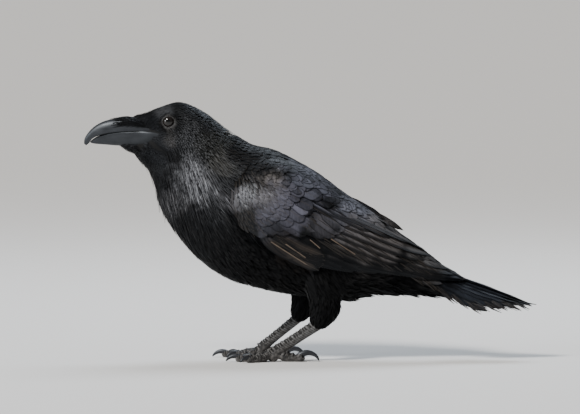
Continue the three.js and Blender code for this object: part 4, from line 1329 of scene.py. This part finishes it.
# Pale worn shafts that stand out on the alula, a primary covert and two secondaries
shafts = {"width": 0.9, "depth": -1.0, "steps": 12, "columns": 3, "profile": "bristle", "lift": 0.1, "layer": 1.0,
          "stray": 0, "thick": 0.7, "toneVary": 0.1, "vary": 0.0, "twist": 0.0, "camber": 0.0,
          "lines": [((74, -36), (141, -47)), ((92, -31), (122, -37)), ((142, -3), (178, -9)), ((118, -14), (134, -19))]}
shaftHorn = hornFinish("raven_shaft_horn", colour(0.035, 0.024, 0.016), colour(0.15, 0.11, 0.075), 0.35, (0.3, 1, 1))
for name, side in (("left", -1), ("right", 1)):
    first, last = np.array(shafts["lines"], float).transpose(1, 0, 2)
    look = {**shafts, "length": np.linalg.norm(last - first, axis=1)}
    bundle = vanes(wingSurface(side), first[:, 0], first[:, 1], look, wingMap(first[:, 0], first[:, 1]), out=-side,
                   paths=lambda s: (first + (last - first) * s).T)
    coatPiece(f"raven_shafts_{name}", [bundle], shaftHorn, [f"wing_{name}"])
print("wings made")


# The back, over both wings where they meet
def backSurface(along, turn, grow=0.0):
    place = np.interp(along, wing["along"], np.arange(len(wing["along"])))
    ridge, wide, half = (curve(wing[key], place) for key in ("ridge", "wide", "half"))
    level = wide + (ridge - wide + grow) * np.cos(turn)
    across = (half + grow) * signedPower(np.sin(turn), 0.9)
    return stack(wing["start"][0] + along * math.cos(wing["fall"]) + level * math.sin(wing["fall"]), across,
                 wing["start"][1] - along * math.sin(wing["fall"]) + level * math.cos(wing["fall"]))


mantle = {"gap": 7.0, "length": 32, "width": 13, "depth": 3.0, "steps": 7, "columns": 5, "profile": "oval",
          "lift": 0.25, "layer": 1.2, "stray": 0.07, "twist": 0.05, "camber": 0.05, "thick": 0.25, "ragged": 0.04,
          "toneVary": 0.35, "rise": 2.8}


def mantleKeep(place, turn, here):
    return (1 - ramp(np.abs(turn), 0.75, 1.0)) * 1.0


u, v = scatter(bodySurface, (5.3, 8.4), (-1.2, 1.2), lambda u, v: 4.2 + 3.3 * ramp(u, 5.6, 8.0), mantleKeep)
foreBack = vanes(bodySurface, u, v, {**mantle, "layer": 0.4}, onMap(u, v, (5.3, 14), (-1.2, 1.2)),
                 size=0.34 + 0.61 * ramp(u, 5.4, 7.9), tone=-1.0 * (1 - ramp(u, 5.6, 7.6)))
u, v = scatter(backSurface, (34, 168), (-0.62, 0.62), mantle["gap"])
rearBack = vanes(backSurface, u, v, mantle, onMap(u * 0.03 + 6.6, v, (5.3, 14), (-1.2, 1.2)), size=1.05)
# two feathers of the far wing stand up behind the ridge
raised = {**mantle, "length": np.array([74.0, 62.0]), "width": 10, "profile": "pointed", "layer": np.array([6.0, 4.5]),
          "lift": 0, "vary": 0, "stray": 0, "steps": 10, "bank": 1.25, "twist": 0, "camber": 0}
u, v = np.array([152.0, 136.0]), np.array([0.26, 0.22])
raisedTips = vanes(backSurface, u, v, raised, onMap(u * 0.03 + 6.6, v, (5.3, 14), (-1.2, 1.2)), tone=-1.1)
# long feathers that close the gap between the folded wings
lowBack = {**mantle, "gap": 9.5, "length": 44, "width": 17, "profile": "quill", "layer": -1.2, "thick": 0.4}
u, v = scatter(backSurface, (165, 264), (-0.75, 0.75), lowBack["gap"])
gapBack = vanes(backSurface, u, v, lowBack, onMap(u * 0.03 + 6.6, v, (5.3, 14), (-1.2, 1.2)),
                size=1.0 - 0.45 * ramp(u, 195, 264))
coatPiece("raven_coat_back", [foreBack, rearBack, gapBack, raisedTips], mantleFeather, ["trunk"])


# The tail: twelve feathers, the middle pair on top, with coverts over and under their roots
tailFan = {"steps": 16, "columns": 5, "profile": "pointed", "depth": 3.0, "lift": 0.1, "stray": 0, "vary": 0.02,
           "twist": 0.03, "camber": 0.04, "thick": 0.6, "ragged": 0.08, "toneVary": 0.35, "rise": 2.5,
           "width": 20, "layerStep": 0.75}
tailTips = [(290, 1.5), (284, 5.2), (272, 10.5), (258, 16.5), (244, 22.5), (226, 28.5)]  # reach and across


def tailMap(u, v):
    return stack(0.02 + 0.96 * (u - 90) / 200, 0.5 + 0.96 * v / 80)


tips = np.array([(reach, across * side) for reach, across in tailTips[::-1] for side in (-1, 1)])
order = np.repeat(np.arange(len(tailTips))[::-1], 2)
roots = stack(118, np.sign(tips[:, 1]) * (1.2 + 2.3 * order))
fan = {**tailFan, "length": np.linalg.norm(tips - roots, axis=1), "layer": -tailFan["layerStep"] * order}
tailQuills = vanes(tailSurface, roots[:, 0], roots[:, 1], fan, tailMap(roots[:, 0], roots[:, 1]), tone=-0.2 * order,
                   paths=lambda s: (roots + (tips - roots) * s).T)
tailCoverts = {"gap": 8.5, "length": 30, "width": 14, "depth": 3, "steps": 7, "columns": 5, "profile": "oval",
               "lift": 0.5, "layer": 0.6, "stray": 0.06, "twist": 0.05, "camber": 0.08, "thick": 0.3,
               "ragged": 0.04, "toneVary": 0.3}
u, v = scatter(tailSurface, (112, 148), (-24, 24), tailCoverts["gap"])
# worn barbs hang in ragged clumps from the edges of the outer feathers and under the tail's root
wisps = {"clumps": [(222, 29), (234, 27), (247, 23), (259, 19), (270, 13), (212, 32.5), (196, 31.5), (178, 29.5), (160, 27)],
         "each": 16, "length": 17, "width": 2.6, "depth": 0.5, "steps": 6, "columns": 2, "profile": "lance",
         "lift": 0.3, "layer": -2.0, "stray": 0.07, "thick": 0.3, "toneVary": 0.2, "vary": 0.4, "twist": 0.3,
         "sway": 0.8, "rim": 0.0}
clumps = np.repeat(np.array(wisps["clumps"], float), wisps["each"], axis=0)
wispSide = np.tile([-1.0, 1.0], len(clumps) // 2)
wispReach = clumps[:, 0] - 12 + rng.uniform(-4, 4, len(clumps))
wispAcross = wispSide * (clumps[:, 1] - rng.uniform(1, 5, len(clumps)))
wispBundle = vanes(tailSurface, wispReach, wispAcross, wisps, tailMap(wispReach, wispAcross),
                   heading=wispSide * np.radians(8 + 14 * (1 - ramp(wispReach, 190, 215))), tone=-0.9)
coatPiece("raven_tail_feathers", [
    tailQuills, vanes(tailSurface, u, v, tailCoverts, tailMap(u, v)), wispBundle],
    wingFeather, ["tail"])
print("tail made")


# Floor, lights and camera
studio = {
    "floorRadius": 90.0, "floorColour": (0.64, 0.63, 0.615), "worldColour": (0.86, 0.89, 0.94), "worldStrength": 0.24,
    "elevation": 3.0, "distance": 6.0, "lens": 293.0, "target": (-0.0235, 0.0, 0.194),
    "sun": {"from": (-0.60, -0.78, 0.92), "angle": 14, "strength": 4.8, "colour": (1.0, 0.975, 0.94)},
    "lights": {
        "top": {"at": (0.4, 1.3, 2.4), "size": 1.4, "power": 60, "colour": (0.80, 0.89, 1.0)},
        "side": {"at": (-2.6, -1.2, 1.0), "size": 1.2, "power": 40, "colour": (0.92, 0.96, 1.0)},
    },
}


def aim(thing, place, target):
    thing.location = place
    thing.rotation_euler = (Vector(target) - Vector(place)).to_track_quat("-Z", "Y").to_euler()
    bpy.context.scene.collection.objects.link(thing)


turn = np.linspace(0, 2 * math.pi, 96, endpoint=False)
rim = stack(np.cos(turn), np.sin(turn), 0 * turn) * studio["floorRadius"] / mm
floor = newMesh("floor", rim, [tuple(range(len(turn)))])
floorFinish, floorShader, _ = newFinish("studio_floor", Roughness=0.7, Specular_IOR_Level=0.3)
floorShader.inputs["Base Color"].default_value = colour(*studio["floorColour"])
floor.data.materials.append(floorFinish)
floor.location.z = -0.0004

world = bpy.data.worlds.new("studio")
world.use_nodes = True
backdrop = world.node_tree.nodes["Background"]
backdrop.inputs["Color"].default_value = colour(*studio["worldColour"])
backdrop.inputs["Strength"].default_value = studio["worldStrength"]
bpy.context.scene.world = world

sun = bpy.data.lights.new("sun", "SUN")
sun.angle, sun.energy, sun.color = math.radians(studio["sun"]["angle"]), studio["sun"]["strength"], studio["sun"]["colour"]
aim(bpy.data.objects.new("sun", sun), studio["sun"]["from"], (0, 0, 0))
for name, light in studio["lights"].items():
    lamp = bpy.data.lights.new(name, "AREA")
    lamp.shape, lamp.size, lamp.energy, lamp.color = "DISK", light["size"], light["power"], light["colour"]
    aim(bpy.data.objects.new(name, lamp), light["at"], (0, 0, 0.2))

lens = bpy.data.cameras.new("camera")
lens.sensor_width, lens.lens = 36.0, studio["lens"]
lens.clip_end = 500
rise = math.radians(studio["elevation"])
target = Vector(studio["target"])
camera = bpy.data.objects.new("camera", lens)
aim(camera, target + Vector((0, -math.cos(rise), math.sin(rise))) * studio["distance"], target)
bpy.context.scene.camera = camera

print("finished")
